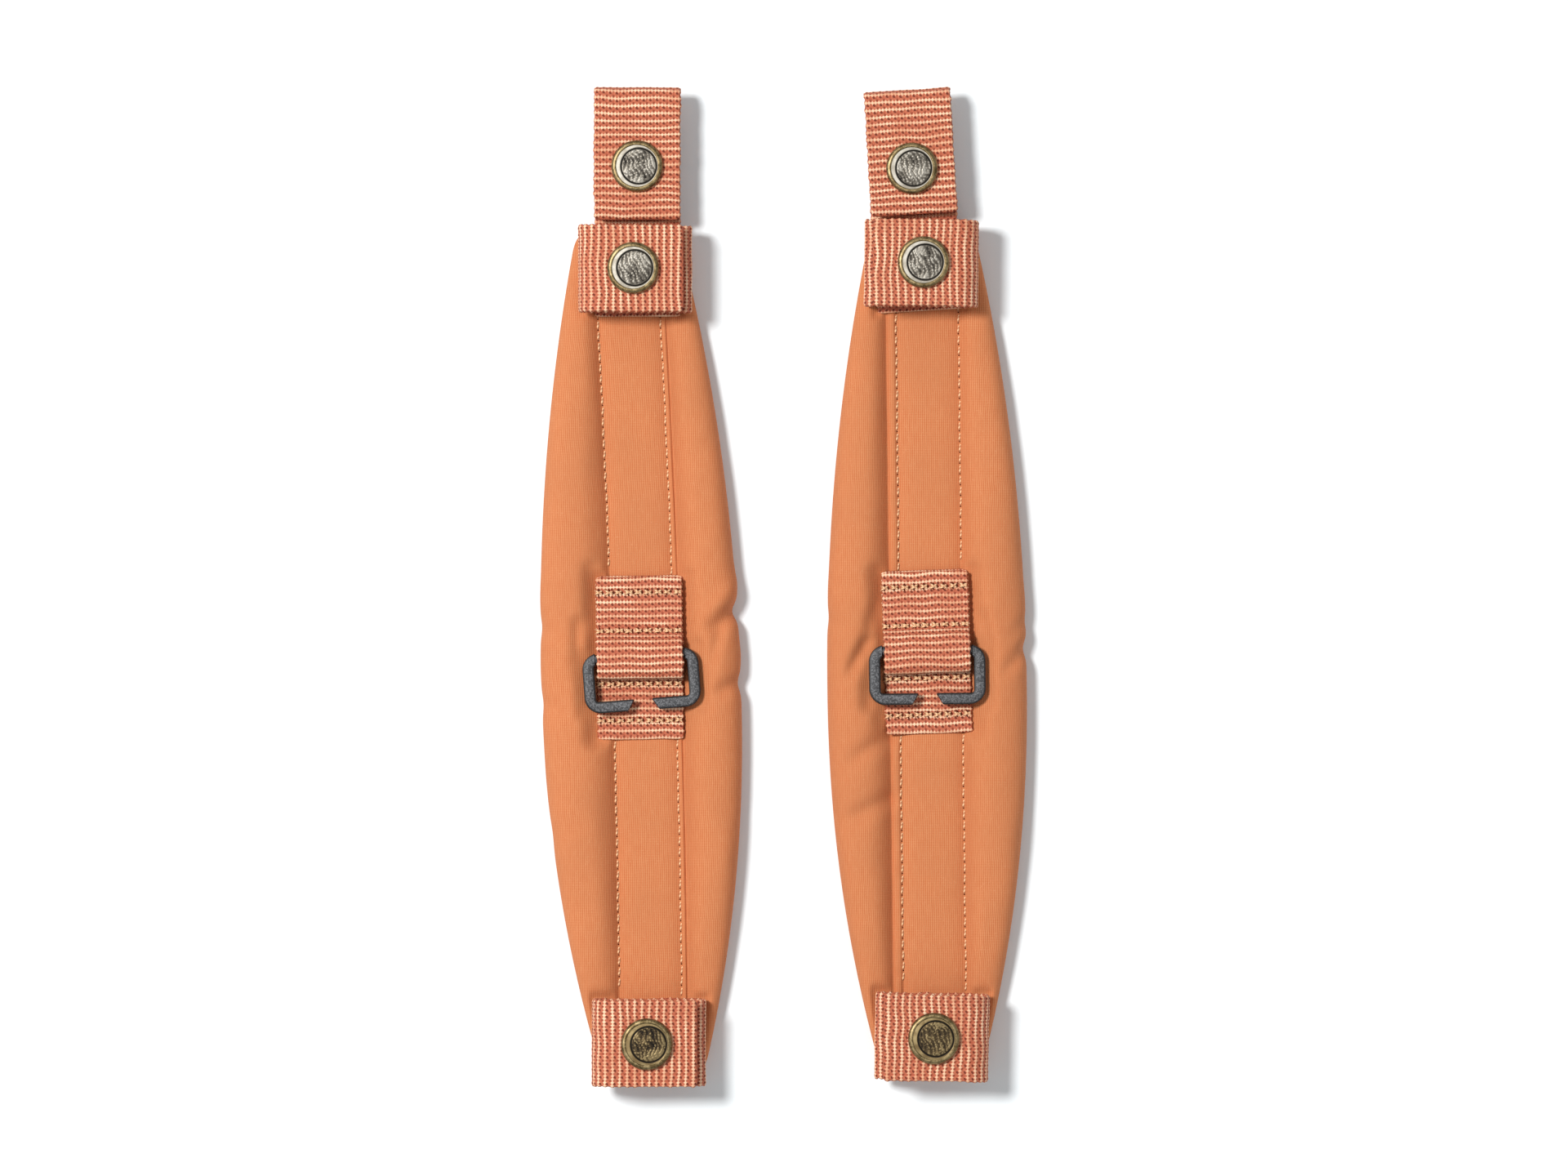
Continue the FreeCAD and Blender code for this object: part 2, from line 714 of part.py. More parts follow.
def build_snap(name, frame, upper_bottom):
    """A four-part press stud through an upper webbing and the lower one below it."""
    upper = frame * turned(0, 0, upper_bottom.value)
    upper_top = upper * turned(0, 0, WEB.value)
    lower_top = upper * turned(0, 0, -SNAP_GAP.value)
    pieces = (
        ("cap", cap_corners(), upper_top),
        ("socket", socket_corners(), upper),
        ("stud", stud_corners(), lower_top),
        ("post", post_corners(), lower_top),
    )
    for piece, corners, place in pieces:
        body = new_body(f"{name}_{piece}")
        turn = revolve(body, corners)
        if piece == "cap":
            edge_height = value("cap_height")
            round_edges(
                body,
                turn,
                lambda edge: abs(edge.BoundBox.ZMin - edge_height) < 0.01
                and edge.BoundBox.XLength > 2 * value("cap_radius") - 0.01,
                size("cap_round"),
            )
        body.Placement = place
        sub_parts.append(body)


def build_snaps(side):
    for end in ("top", "bottom"):
        build_snap(f"{side}_{end}_snap", band_frame(side, end), FLAP_BOTTOM)
    along = value(f"{side}_loop_reach") - value("loop_snap_reach")
    build_snap(f"{side}_loop_snap", loop_frame(side) * turned(0, along, 0), LOOP_FLAP_BOTTOM)


# --- the pair ----------------------------------------------------------------------------

sub_parts = []
for side in SIDES:
    build_padding(side)
    build_loop(side)
    build_band(side, "top")
    build_band(side, "bottom")
    build_keeper(side)
    build_hook(side)
    build_snaps(side)
doc.recompute()

for item in doc.Objects:
    if "Invalid" in item.State or "Error" in item.State:
        raise RuntimeError(f"{item.Name} failed: {item.State}")
for piece in sub_parts:
    if piece.Shape.isNull() or not piece.Shape.isValid():
        raise RuntimeError(f"{piece.Label} has no valid shape")

os.makedirs("parts", exist_ok=True)
for piece in sub_parts:
    piece.Shape.exportStep(f"parts/{piece.Label}.step")
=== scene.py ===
import json
import math
import random

import bmesh
import bpy
import numpy as np
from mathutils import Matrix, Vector, noise


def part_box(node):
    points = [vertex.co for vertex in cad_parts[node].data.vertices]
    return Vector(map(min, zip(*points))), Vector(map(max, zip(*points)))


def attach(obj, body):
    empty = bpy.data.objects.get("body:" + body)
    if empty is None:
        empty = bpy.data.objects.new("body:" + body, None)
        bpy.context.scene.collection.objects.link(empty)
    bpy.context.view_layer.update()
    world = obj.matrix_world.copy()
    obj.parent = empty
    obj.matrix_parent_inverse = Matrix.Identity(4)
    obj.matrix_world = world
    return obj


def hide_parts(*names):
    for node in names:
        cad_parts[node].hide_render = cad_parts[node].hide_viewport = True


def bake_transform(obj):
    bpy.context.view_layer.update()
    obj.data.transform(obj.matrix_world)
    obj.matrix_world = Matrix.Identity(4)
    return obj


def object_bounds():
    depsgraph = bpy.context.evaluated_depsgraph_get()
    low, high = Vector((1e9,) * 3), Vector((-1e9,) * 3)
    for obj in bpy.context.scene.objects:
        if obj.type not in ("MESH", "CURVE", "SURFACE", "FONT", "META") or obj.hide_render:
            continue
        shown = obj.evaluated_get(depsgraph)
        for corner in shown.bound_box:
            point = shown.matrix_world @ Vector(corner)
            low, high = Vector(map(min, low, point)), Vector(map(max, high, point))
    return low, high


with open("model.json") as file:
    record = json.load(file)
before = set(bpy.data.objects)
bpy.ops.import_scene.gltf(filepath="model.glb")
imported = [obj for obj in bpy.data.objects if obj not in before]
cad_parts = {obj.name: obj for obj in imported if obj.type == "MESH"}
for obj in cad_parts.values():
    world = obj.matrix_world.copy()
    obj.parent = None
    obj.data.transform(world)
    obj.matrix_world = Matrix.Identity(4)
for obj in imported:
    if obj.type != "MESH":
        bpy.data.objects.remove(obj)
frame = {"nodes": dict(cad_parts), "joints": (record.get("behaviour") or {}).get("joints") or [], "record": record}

cad_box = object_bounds()

# ---------------------------------------------------------------- sizes, in millimetres
MM = 0.001
SIDES = ("left", "right")
ENDS = ("top", "bottom")

# padding
FULLEST = -12.0        # where along a pad it is widest
BOW = 2.1              # how squarely its sides bow out
WING_FLATNESS = 4      # how long the wings keep their height before they sink to the ends
SEAM_HEIGHT = 4.0      # the seam between the front and back cloth, above the sole
STITCH_DEPTH_Z = 5.3   # how high the cloth stands where a channel seam pulls it down
CENTRE_CROWN = 1.35    # the strip between the channel seams over the seams
SOLE_SHARE = 0.80      # share of the half width that rests flat
SOLE_GROOVE = 0.9      # how far a channel seam draws the sole up
WING_PEAK = 0.46       # where a wing is highest, as a share of its width
END_ROUND = 5.0
CUT_FULLNESS = 0.9     # the wings' height as cut, before the filling swells them
CHANNEL_HALF = 9.15    # from the channel's middle to each seam
CHANNEL = {            # its middle, how far it wanders off to one side, and where its lapped edge is
    "left": {"middle": 0.95, "bow": -0.00011, "lap_side": 1, "lap": 1.5},
    "right": {"middle": 1.2, "bow": 0.0, "lap_side": -1, "lap": 2.5},
}
LAP_RISE = 0.95        # the folded edge over the cloth beside it
PAD_ROWS = 176
WING_COLUMNS = 15
PUFF_CAP = 1.6         # how far the cloth may swell from its cut shape
PUFF_PRESSURE = 4.0
PUFF_FRAMES = 20
STITCH_PITCH = 3.15
PUCKER = 0.13          # how far the stitches draw the cloth up and down beside a seam
UNDER_WEBBING = 0.1    # from webbing down to the cloth that it lies on
UNDER_HOOK = 0.35

# thread
THREAD = 0.28          # its radius
THREAD_SIDES = 6
# rings of a bit of thread: how far along it each is, and how fat it is there
THREAD_RINGS = ((0.0, 0.25), (0.08, 0.75), (0.25, 1.0), (0.5, 1.08), (0.75, 1.0), (0.92, 0.75), (1.0, 0.25))
LOCK_PITCH = 2.85      # from one crossing to the next in the keeper's lock stitching

# creases in a pad's cloth: from, to, depth, half width; along the pad's own axes
CREASES = {
    "left": [
        ((29.5, 11.4), (19.5, 6.0), 2.9, 1.8),
        ((27.0, 17.5), (21.0, 11.5), -1.1, 2.4),
        ((23.5, 5.5), (18.0, -10.0), 1.6, 1.8),
        ((-17.4, 9.5), (-18.6, -6.0), 2.5, 1.7),
        ((-13.6, 25.6), (-14.6, 17.0), 2.0, 1.4),
        ((27.8, -9.6), (20.0, -13.5), 1.7, 1.9),
        ((-29.5, 8.4), (-25.0, 5.4), 0.8, 2.2),
        ((-28.5, -14.0), (-21.0, -18.0), 0.7, 2.4),
        ((18.0, -41.0), (27.0, -47.0), 0.5, 3.0),
        ((-27.0, -52.0), (-16.0, -48.0), 0.4, 3.5),
        ((16.0, 56.0), (24.0, 62.0), 0.4, 3.5),
    ],
    "right": [
        ((-14.0, 15.0), (-17.6, 1.5), 2.8, 1.7),
        ((-17.6, 1.5), (-23.0, -8.0), 3.6, 1.7),
        ((15.8, 9.5), (19.0, -5.5), 2.2, 1.7),
        ((29.5, -0.6), (21.5, -8.0), 1.7, 1.8),
        ((29.5, 7.5), (24.5, 3.5), 0.9, 1.6),
        ((-10.8, -25.0), (-23.5, -33.5), 2.0, 2.4),
        ((-11.8, -44.0), (-25.5, -51.0), 1.7, 2.4),
        ((-29.5, 9.0), (-24.0, 4.0), 0.6, 2.0),
        ((15.0, 60.0), (23.0, 66.0), 0.4, 3.5),
        ((14.0, -70.0), (24.0, -62.0), 0.4, 3.5),
    ],
}

# webbing
RIB = 2.12             # from one weft rib to the next
BEAD = 1.95            # from one warp bead to the next, across the webbing
RIB_STEPS = 6
WEB_COLUMNS = 44
RIB_HEIGHT = 0.24
RIB_WOBBLE = 0.5       # how far the ribs wander out of line
EDGE_WANDER = 0.26     # how far the selvedges wander in and out
WEB_DRIFT = 0.2        # how far a whole length of webbing wanders sideways
WEB_SAG = 0.16
SELVEDGE = 0.07        # the share of the half width over which it thins
END_CORNER = 1.1
CLEAR = 0.4            # how far a fold's bend keeps from the flat webbing on each side of it
HOLDER_SEWN = 16.8     # the hook's holder lies flat this far before it rises over the crossbar

# hook and snaps
HOOK_BAR = 3.4
HOOK_CORNER = 4.8
HOOK_MOUTH = 5.0
HOOK_FLARE = 1.8
HOOK_BEVEL = 0.55
CROSSBAR = 1.3         # its radius
CROSSBAR_SIDES = 20
CAP_RIM = 1.35
CAP_BOSS = (0.55, -0.05, 5.15)  # its middle and radius, on the cap's face
CAP_RINGS = 46
CAP_SEGMENTS = 112
SOCKET_BORE = 3.5
STUD_NECK = 2.1
STUD_HEAD = 2.4
POST_NECK = 1.3

# camera, in metres
CAMERA_OFF = (0.0001, -0.0005)  # from over the middle of the pair
CAMERA_DISTANCE = 2.0  # to the level where the picture is FIELD wide
FIELD_LEVEL = 0.010    # that level above the floor
FIELD = 0.4571


# ---------------------------------------------------------------- places taken from the frame
class Place:
    """Upright axes of their own at a point of the frame, measured in millimetres."""

    def __init__(self, origin, across):
        self.origin = np.array(origin, float)
        x = np.array([across[0], across[1], 0.0])
        x /= np.linalg.norm(x)
        self.axes = np.array([x, (-x[1], x[0], 0.0), (0.0, 0.0, 1.0)])

    def out(self, points):
        """Points along these axes, as points of the frame in metres."""
        return self.origin + np.asarray(points, float) @ self.axes * MM

    def into(self, points):
        """Points of the frame, measured along these axes."""
        return (np.asarray(points, float) - self.origin) @ self.axes.T / MM


def node_points(name):
    mesh = frame["nodes"][name].data
    found = np.empty(len(mesh.vertices) * 3)
    mesh.vertices.foreach_get("co", found)
    return found.reshape(-1, 3)


def node_box(place, name):
    """A CAD node's lowest and highest corners along a place's own axes."""
    found = place.into(node_points(name))
    return found.min(0), found.max(0)


def long_axis(name):
    """The way a CAD node lies, seen from above, towards +Y."""
    flat = node_points(name)[:, :2]
    flat = flat - flat.mean(0)
    axis = np.linalg.eigh(flat.T @ flat)[1][:, -1]
    return axis * np.sign(axis[1])


def mount(name):
    return next(m for m in frame["record"]["mounts"] if m["name"] == name)


def joint(name):
    return next(j for j in frame["joints"] if j["name"] == name)


def pad_place(side):
    along = long_axis(f"{side}_back_cover")
    return Place(mount(f"{side}_rest_face")["pos_m"], (along[1], -along[0]))


def band_place(side, end):
    """At the snap's axis on the underside of the band's base, with +x to the outer fold."""
    sleeve = mount(f"{side}_{end}_sleeve")["pos_m"]
    pivot = joint(f"{side}_{end}_flap_open")["pos_m"]
    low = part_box(f"{side}_{end}_band_base")[0].z
    return Place((sleeve[0], sleeve[1], low), (pivot[0] - sleeve[0], pivot[1] - sleeve[1]))


def loop_place(side):
    """At the loop's fold, with -y towards the pad."""
    hinge = joint(f"{side}_loop_open")
    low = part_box(f"{side}_loop_base")[0].z
    return Place((hinge["pos_m"][0], hinge["pos_m"][1], low), [-a for a in hinge["axis"]])


def keeper_place(side):
    """At the middle of the keeper's underside."""
    along = long_axis(f"{side}_keeper_base")
    low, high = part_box(f"{side}_keeper_base")
    middle = (low + high) / 2
    return Place((middle.x, middle.y, low.z), (along[1], -along[0]))


def hook_place(side):
    """At the middle of the hook's crossbar, with -y towards the mouth."""
    hinge = joint(f"{side}_hook_swing")
    return Place(hinge["pos_m"], [-a for a in hinge["axis"]])


# ---------------------------------------------------------------- node arithmetic for materials
class Wire:
    """A value in a material, so that its pattern can be written as arithmetic."""

    def __init__(self, tree, socket):
        self.tree = tree
        self.socket = socket

    def math(self, operation, *others):
        node = self.tree.nodes.new("ShaderNodeMath")
        node.operation = operation
        for slot, value in zip(node.inputs, (self, *others)):
            if isinstance(value, Wire):
                self.tree.links.new(value.socket, slot)
            else:
                slot.default_value = value
        return Wire(self.tree, node.outputs[0])

    def __add__(self, other):
        return self.math("ADD", other)

    def __sub__(self, other):
        return self.math("SUBTRACT", other)

    def __mul__(self, other):
        return self.math("MULTIPLY", other)

    def __truediv__(self, other):
        return self.math("DIVIDE", other)

    def wave(self, pitch):
        """1 on each multiple of pitch and 0 half way between."""
        return (self * (2 * math.pi / pitch)).math("COSINE") * 0.5 + 0.5

    def repeat(self, pitch):
        """From -pitch/2 to pitch/2, over and over, 0 on each multiple of pitch."""
        return ((self / pitch + 0.5).math("FRACT") - 0.5) * pitch

    def ramp(self, low, high):
        """0 at low, 1 at high, smooth between."""
        node = self.tree.nodes.new("ShaderNodeMapRange")
        node.interpolation_type = "SMOOTHSTEP"
        self.tree.links.new(self.socket, node.inputs["Value"])
        node.inputs["From Min"].default_value = low
        node.inputs["From Max"].default_value = high
        return Wire(self.tree, node.outputs["Result"])


def srgb(red, green, blue):
    """An 8-bit screen colour as the linear one that a shader takes."""
    def linear(c):
        c /= 255
        return c / 12.92 if c <= 0.04045 else ((c + 0.055) / 1.055) ** 2.4
    return (linear(red), linear(green), linear(blue), 1.0)


class Finish:
    """A node material on the standard shader, with the few nodes that these finishes share."""

    def __init__(self, name, **numbers):
        self.material = bpy.data.materials.new(name)
        self.material.use_nodes = True
        self.tree = self.material.node_tree
        self.shader = self.tree.nodes["Principled BSDF"]
        for socket, value in numbers.items():
            self.shader.inputs[socket.replace("_", " ")].default_value = value

    def coordinates(self, output="UV"):
        node = self.tree.nodes.new("ShaderNodeTexCoord")
        return node.outputs[output]

    def split(self, socket):
        node = self.tree.nodes.new("ShaderNodeSeparateXYZ")
        self.tree.links.new(socket, node.inputs[0])
        return [Wire(self.tree, out) for out in node.outputs]

    def noise(self, scale, detail=2.0, output="Object", stretch=(1, 1, 1)):
        mapping = self.tree.nodes.new("ShaderNodeMapping")
        mapping.inputs["Scale"].default_value = stretch
        self.tree.links.new(self.coordinates(output), mapping.inputs["Vector"])
        node = self.tree.nodes.new("ShaderNodeTexNoise")
        node.inputs["Scale"].default_value = scale
        node.inputs["Detail"].default_value = detail
        self.tree.links.new(mapping.outputs[0], node.inputs["Vector"])
        return Wire(self.tree, node.outputs["Fac"])

    def mix(self, share, first, second):
        """One colour where share is 0 and the other where it is 1. Each is a colour or a socket."""
        node = self.tree.nodes.new("ShaderNodeMix")
        node.data_type = "RGBA"
        self.tree.links.new(share.socket, node.inputs["Factor"])
        for name, value in (("A", first), ("B", second)):
            slot = next(i for i in node.inputs if i.name == name and i.type == "RGBA")
            if isinstance(value, tuple):
                slot.default_value = value
            else:
                self.tree.links.new(value, slot)
        return next(o for o in node.outputs if o.type == "RGBA")

    def colour(self, socket):
        self.tree.links.new(socket, self.shader.inputs["Base Color"])

    def roughness(self, wire):
        self.tree.links.new(wire.socket, self.shader.inputs["Roughness"])

    def bump(self, wire, depth):
        """Height in wire, times depth in millimetres."""
        node = self.tree.nodes.new("ShaderNodeBump")
        node.inputs["Distance"].default_value = depth * MM
        self.tree.links.new(wire.socket, node.inputs["Height"])
        if self.shader.inputs["Normal"].is_linked:
            self.tree.links.new(self.shader.inputs["Normal"].links[0].from_socket, node.inputs["Normal"])
        self.tree.links.new(node.outputs["Normal"], self.shader.inputs["Normal"])


# ---------------------------------------------------------------- materials
def make_cover_fabric():
    """Orange cotton and polyester cloth with a fine rib along the pad."""
    finish = Finish("cover_fabric", Sheen_Weight=0.05, Sheen_Roughness=0.45, Specular_IOR_Level=0.2)
    finish.shader.inputs["Sheen Tint"].default_value = srgb(255, 190, 140)
    across, along, _ = finish.split(finish.coordinates())
    wander = finish.noise(160, 2.0)
    rib = (across + wander * 0.25).wave(0.62)
    pick = (along + wander * 0.2).wave(0.5)
    slub = finish.noise(900, 2.0, "UV", stretch=(0.0016, 0.0003, 1))
    weave = rib * 0.5 + pick * 0.25 + slub * 0.4
    body = finish.mix(weave.ramp(0.2, 1.0), srgb(192, 106, 62), srgb(214, 142, 96))
    patches = finish.noise(45, 3.0)
    body = finish.mix(patches.ramp(0.3, 0.75) * 0.4, body, srgb(190, 118, 76))
    fluff = finish.noise(2600, 1.0)
    body = finish.mix(fluff.ramp(0.6, 0.85) * 0.45, body, srgb(220, 160, 118))
    finish.colour(body)
    finish.roughness(weave * -0.12 + 0.92)
    finish.bump(weave, 0.07)
    return finish.material


def row_of_gaps(across, along, beside, lean, size):
    """A row of slanting oval gaps that lies beside each ridge, one gap for each bead."""
    along = (along - beside).repeat(RIB)
    across = across.repeat(BEAD) - along * lean
    return (across * across / size[0] + along * along / size[1]).ramp(1.3, 0.4)


def make_webbing():
    """Thin toothed peach ridges over orange webbing, lightened in part by a painted highlight on what stands
    proud, with rows of gaps beside each ridge darkened as painted shade.
    """
    finish = Finish("webbing", Sheen_Weight=0.12, Sheen_Roughness=0.4, Specular_IOR_Level=0.3)
    finish.shader.inputs["Sheen Tint"].default_value = srgb(255, 210, 170)
    across, along, _ = finish.split(finish.coordinates())
    wander = finish.noise(260, 2.0) - 0.5
    along = along + wander * 0.28
    across = across + wander * 0.2
    ridge = along.wave(RIB)
    teeth = (across - BEAD / 4).wave(BEAD / 2)
    beads = across.wave(BEAD)
    comb = teeth.ramp(0.35, 0.9) * ridge.ramp(0.42, 0.72)
    light = (ridge.ramp(0.84, 0.98) + comb * 0.68).ramp(0.15, 0.85)
    big_gaps = row_of_gaps(across, along, RIB * 0.34, 0.5, (0.15, 0.10))
    small = row_of_gaps(across - BEAD / 2, along, -RIB * 0.30, -0.5, (0.10, 0.07))
    strands = finish.noise(1500, 2.0, "UV", stretch=(0.0022, 0.0009, 1))
    base = finish.mix(strands.ramp(0.3, 0.75), srgb(172, 80, 54), srgb(196, 110, 80))
    # lighter on the raised ribs, teeth and warp beads: paler yarn together with a painted highlight on what stands
    # proud
    flecks_and_highlight = (ridge * 0.5 + teeth * 0.6).ramp(0.55, 0.95)
    base = finish.mix(beads * 0.25, base, srgb(206, 124, 92))
    base = finish.mix(flecks_and_highlight * 0.55, base, srgb(226, 164, 128))
    # painted shade: the small and big gaps in the weave darkened where shade falls into them
    base = finish.mix(small * 0.7, base, srgb(132, 50, 30))
    base = finish.mix(big_gaps * 0.9, base, srgb(104, 34, 18))
    # the ridges' peach, paler in places at random, is partly a painted highlight on the raised ribs
    worn = finish.noise(110, 2.0)
    peach = finish.mix(worn.ramp(0.3, 0.7), srgb(226, 164, 126), srgb(250, 212, 176))
    # painted shade between the teeth of each ridge
    peach = finish.mix(teeth.ramp(0.45, 0.0) * 0.4, peach, srgb(198, 118, 84))
    finish.colour(finish.mix(light, base, peach))
    finish.roughness(strands * 0.2 + 0.64)
    finish.bump(teeth * 0.4 + beads * 0.4 - big_gaps * 0.9 - small * 0.5 + light * 0.35, 0.17)
    finish.bump(strands, 0.05)
    return finish.material


def make_thread():
    """Pale twisted sewing thread."""
    finish = Finish("thread", Sheen_Weight=0.1, Specular_IOR_Level=0.4)
    turn, along, _ = finish.split(finish.coordinates())
    twist = (turn + along * 0.9).wave(1.0)
    finish.colour(finish.mix(twist, srgb(188, 124, 82), srgb(244, 202, 156)))
    finish.roughness(twist * 0.15 + 0.6)
    finish.bump(twist, 0.05)
    return finish.material


def make_needle_hole_shade():
    """Painted shade for needle holes: the dark of their shadow, put on short bits of thread."""
    finish = Finish("needle_hole_shade", Specular_IOR_Level=0.1)
    shade = finish.noise(1200, 2.0)
    # painted shade: dark brown where the needle holes are in shadow
    finish.colour(finish.mix(shade, srgb(70, 26, 12), srgb(112, 48, 24)))
    finish.roughness(shade * 0.1 + 0.9)
    return finish.material


def make_hook_metal():
    """Charcoal powder coat with a fine grain."""
    finish = Finish("hook_metal", Metallic=0.2, Specular_IOR_Level=0.5)
    grain = finish.noise(2300, 2.0)
    coarse = finish.noise(1000, 2.0)
    speck = grain * 0.6 + coarse * 0.4
    finish.colour(finish.mix(speck.ramp(0.40, 0.66), srgb(50, 50, 52), srgb(112, 112, 114)))
    finish.roughness(speck * 0.25 + 0.45)
    finish.bump(speck, 0.09)
    return finish.material


def make_hook_edge_shade():
    """The same coat where it is rubbed smooth on the edges, painted dark as shade on the bevels that face away
    from the light.
    """
    finish = Finish("hook_edge_shade", Metallic=0.1, Specular_IOR_Level=0.4)
    speck = finish.noise(1500, 2.0)
    # painted shade: near-black for the bevels and sides
    finish.colour(finish.mix(speck.ramp(0.35, 0.7), srgb(22, 22, 23), srgb(46, 46, 48)))
    finish.roughness(speck * 0.2 + 0.38)
    finish.bump(speck, 0.03)
    return finish.material


def make_brass():
    """Olive antique brass."""
    finish = Finish("snap_brass", Metallic=1.0)
    cloud = finish.noise(500, 3.0)
    fine = finish.noise(2400, 2.0)
    rubbed = cloud * 0.6 + fine * 0.4
    finish.colour(finish.mix(rubbed.ramp(0.34, 0.68), srgb(96, 80, 52), srgb(168, 148, 108)))
    finish.roughness(fine * 0.2 + 0.36)
    finish.bump(rubbed, 0.025)
    return finish.material


def make_cap_face(name, dark, worn, rubbed):
    """A cap's face: worn metal, with dark patina left in everything that lies low. The first cloth
    coordinate says how high each point lies, with 0.5 for the plain face."""
    finish = Finish(name, Metallic=0.9)
    extra, _, _ = finish.split(finish.coordinates())
    cloud = finish.noise(380, 3.0)
    fine = finish.noise(2600, 2.0)
    low = (extra + (fine - 0.5) * 0.07).ramp(0.462, 0.38)
    inside = extra.ramp(0.44, 0.56)
    smooth = finish.mix(cloud.ramp(0.3, 0.72), worn, rubbed)
    boss = finish.mix((inside + fine - 0.3).ramp(0.1, 1.0), worn, rubbed)
    boss = finish.mix(inside * -0.6 + 0.92, boss, dark)
    skin = finish.mix((extra - 0.5).math("ABSOLUTE").ramp(0.002, 0.012), smooth, boss)
    finish.colour(finish.mix(low, skin, srgb(34, 31, 28)))
    finish.roughness(fine * 0.15 + low * 0.2 + 0.46)
    finish.bump(fine, 0.012)
    return finish.material


def make_floor_finish():
    """Plain pale paper."""
    finish = Finish("floor_finish", Specular_IOR_Level=0.1)
    paper = finish.noise(60, 3.0)
    finish.colour(finish.mix(paper, (0.89, 0.925, 0.935, 1.0), (0.90, 0.94, 0.95, 1.0)))
    finish.roughness(paper * 0.05 + 0.92)
    return finish.material


# ---------------------------------------------------------------- meshes
def make_piece(name, points, faces, materials, uv=None, smooth=True, face_materials=None):
    """A mesh object from points in metres. uv gives each point's place on the cloth."""
    mesh = bpy.data.meshes.new(name)
    mesh.from_pydata(np.asarray(points).tolist(), [], faces)
    mesh.validate()
    if uv is not None:
        corners = np.empty(len(mesh.loops), np.int32)
        mesh.loops.foreach_get("vertex_index", corners)
        layer = mesh.uv_layers.new(name="cloth")
        layer.uv.foreach_set("vector", np.asarray(uv, np.float32)[corners].ravel())
    for material in materials:
        mesh.materials.append(material)
    if face_materials is not None:
        mesh.polygons.foreach_set("material_index", np.asarray(face_materials, np.int32))
    mesh.polygons.foreach_set("use_smooth", [smooth] * len(mesh.polygons))
    mesh.update()
    piece = bpy.data.objects.new(name, mesh)
    bpy.context.scene.collection.objects.link(piece)
    return piece


def ring_faces(rings, count):
    """Quads between rings of count points each, numbered one ring after another."""
    faces = []
    for i in range(rings - 1):
        for j in range(count):
            k = (j + 1) % count
            faces.append((i * count + j, i * count + k, (i + 1) * count + k, (i + 1) * count + j))
    return faces


def smooth_step(x):
    x = np.clip(x, 0.0, 1.0)
    return x * x * (3 - 2 * x)


# ---------------------------------------------------------------- padding
def pad_share(y, half_length):
    """0 where the pad is fullest and 1 at its ends."""
    return np.abs(y - FULLEST) / np.where(y > FULLEST, half_length - FULLEST, half_length + FULLEST)


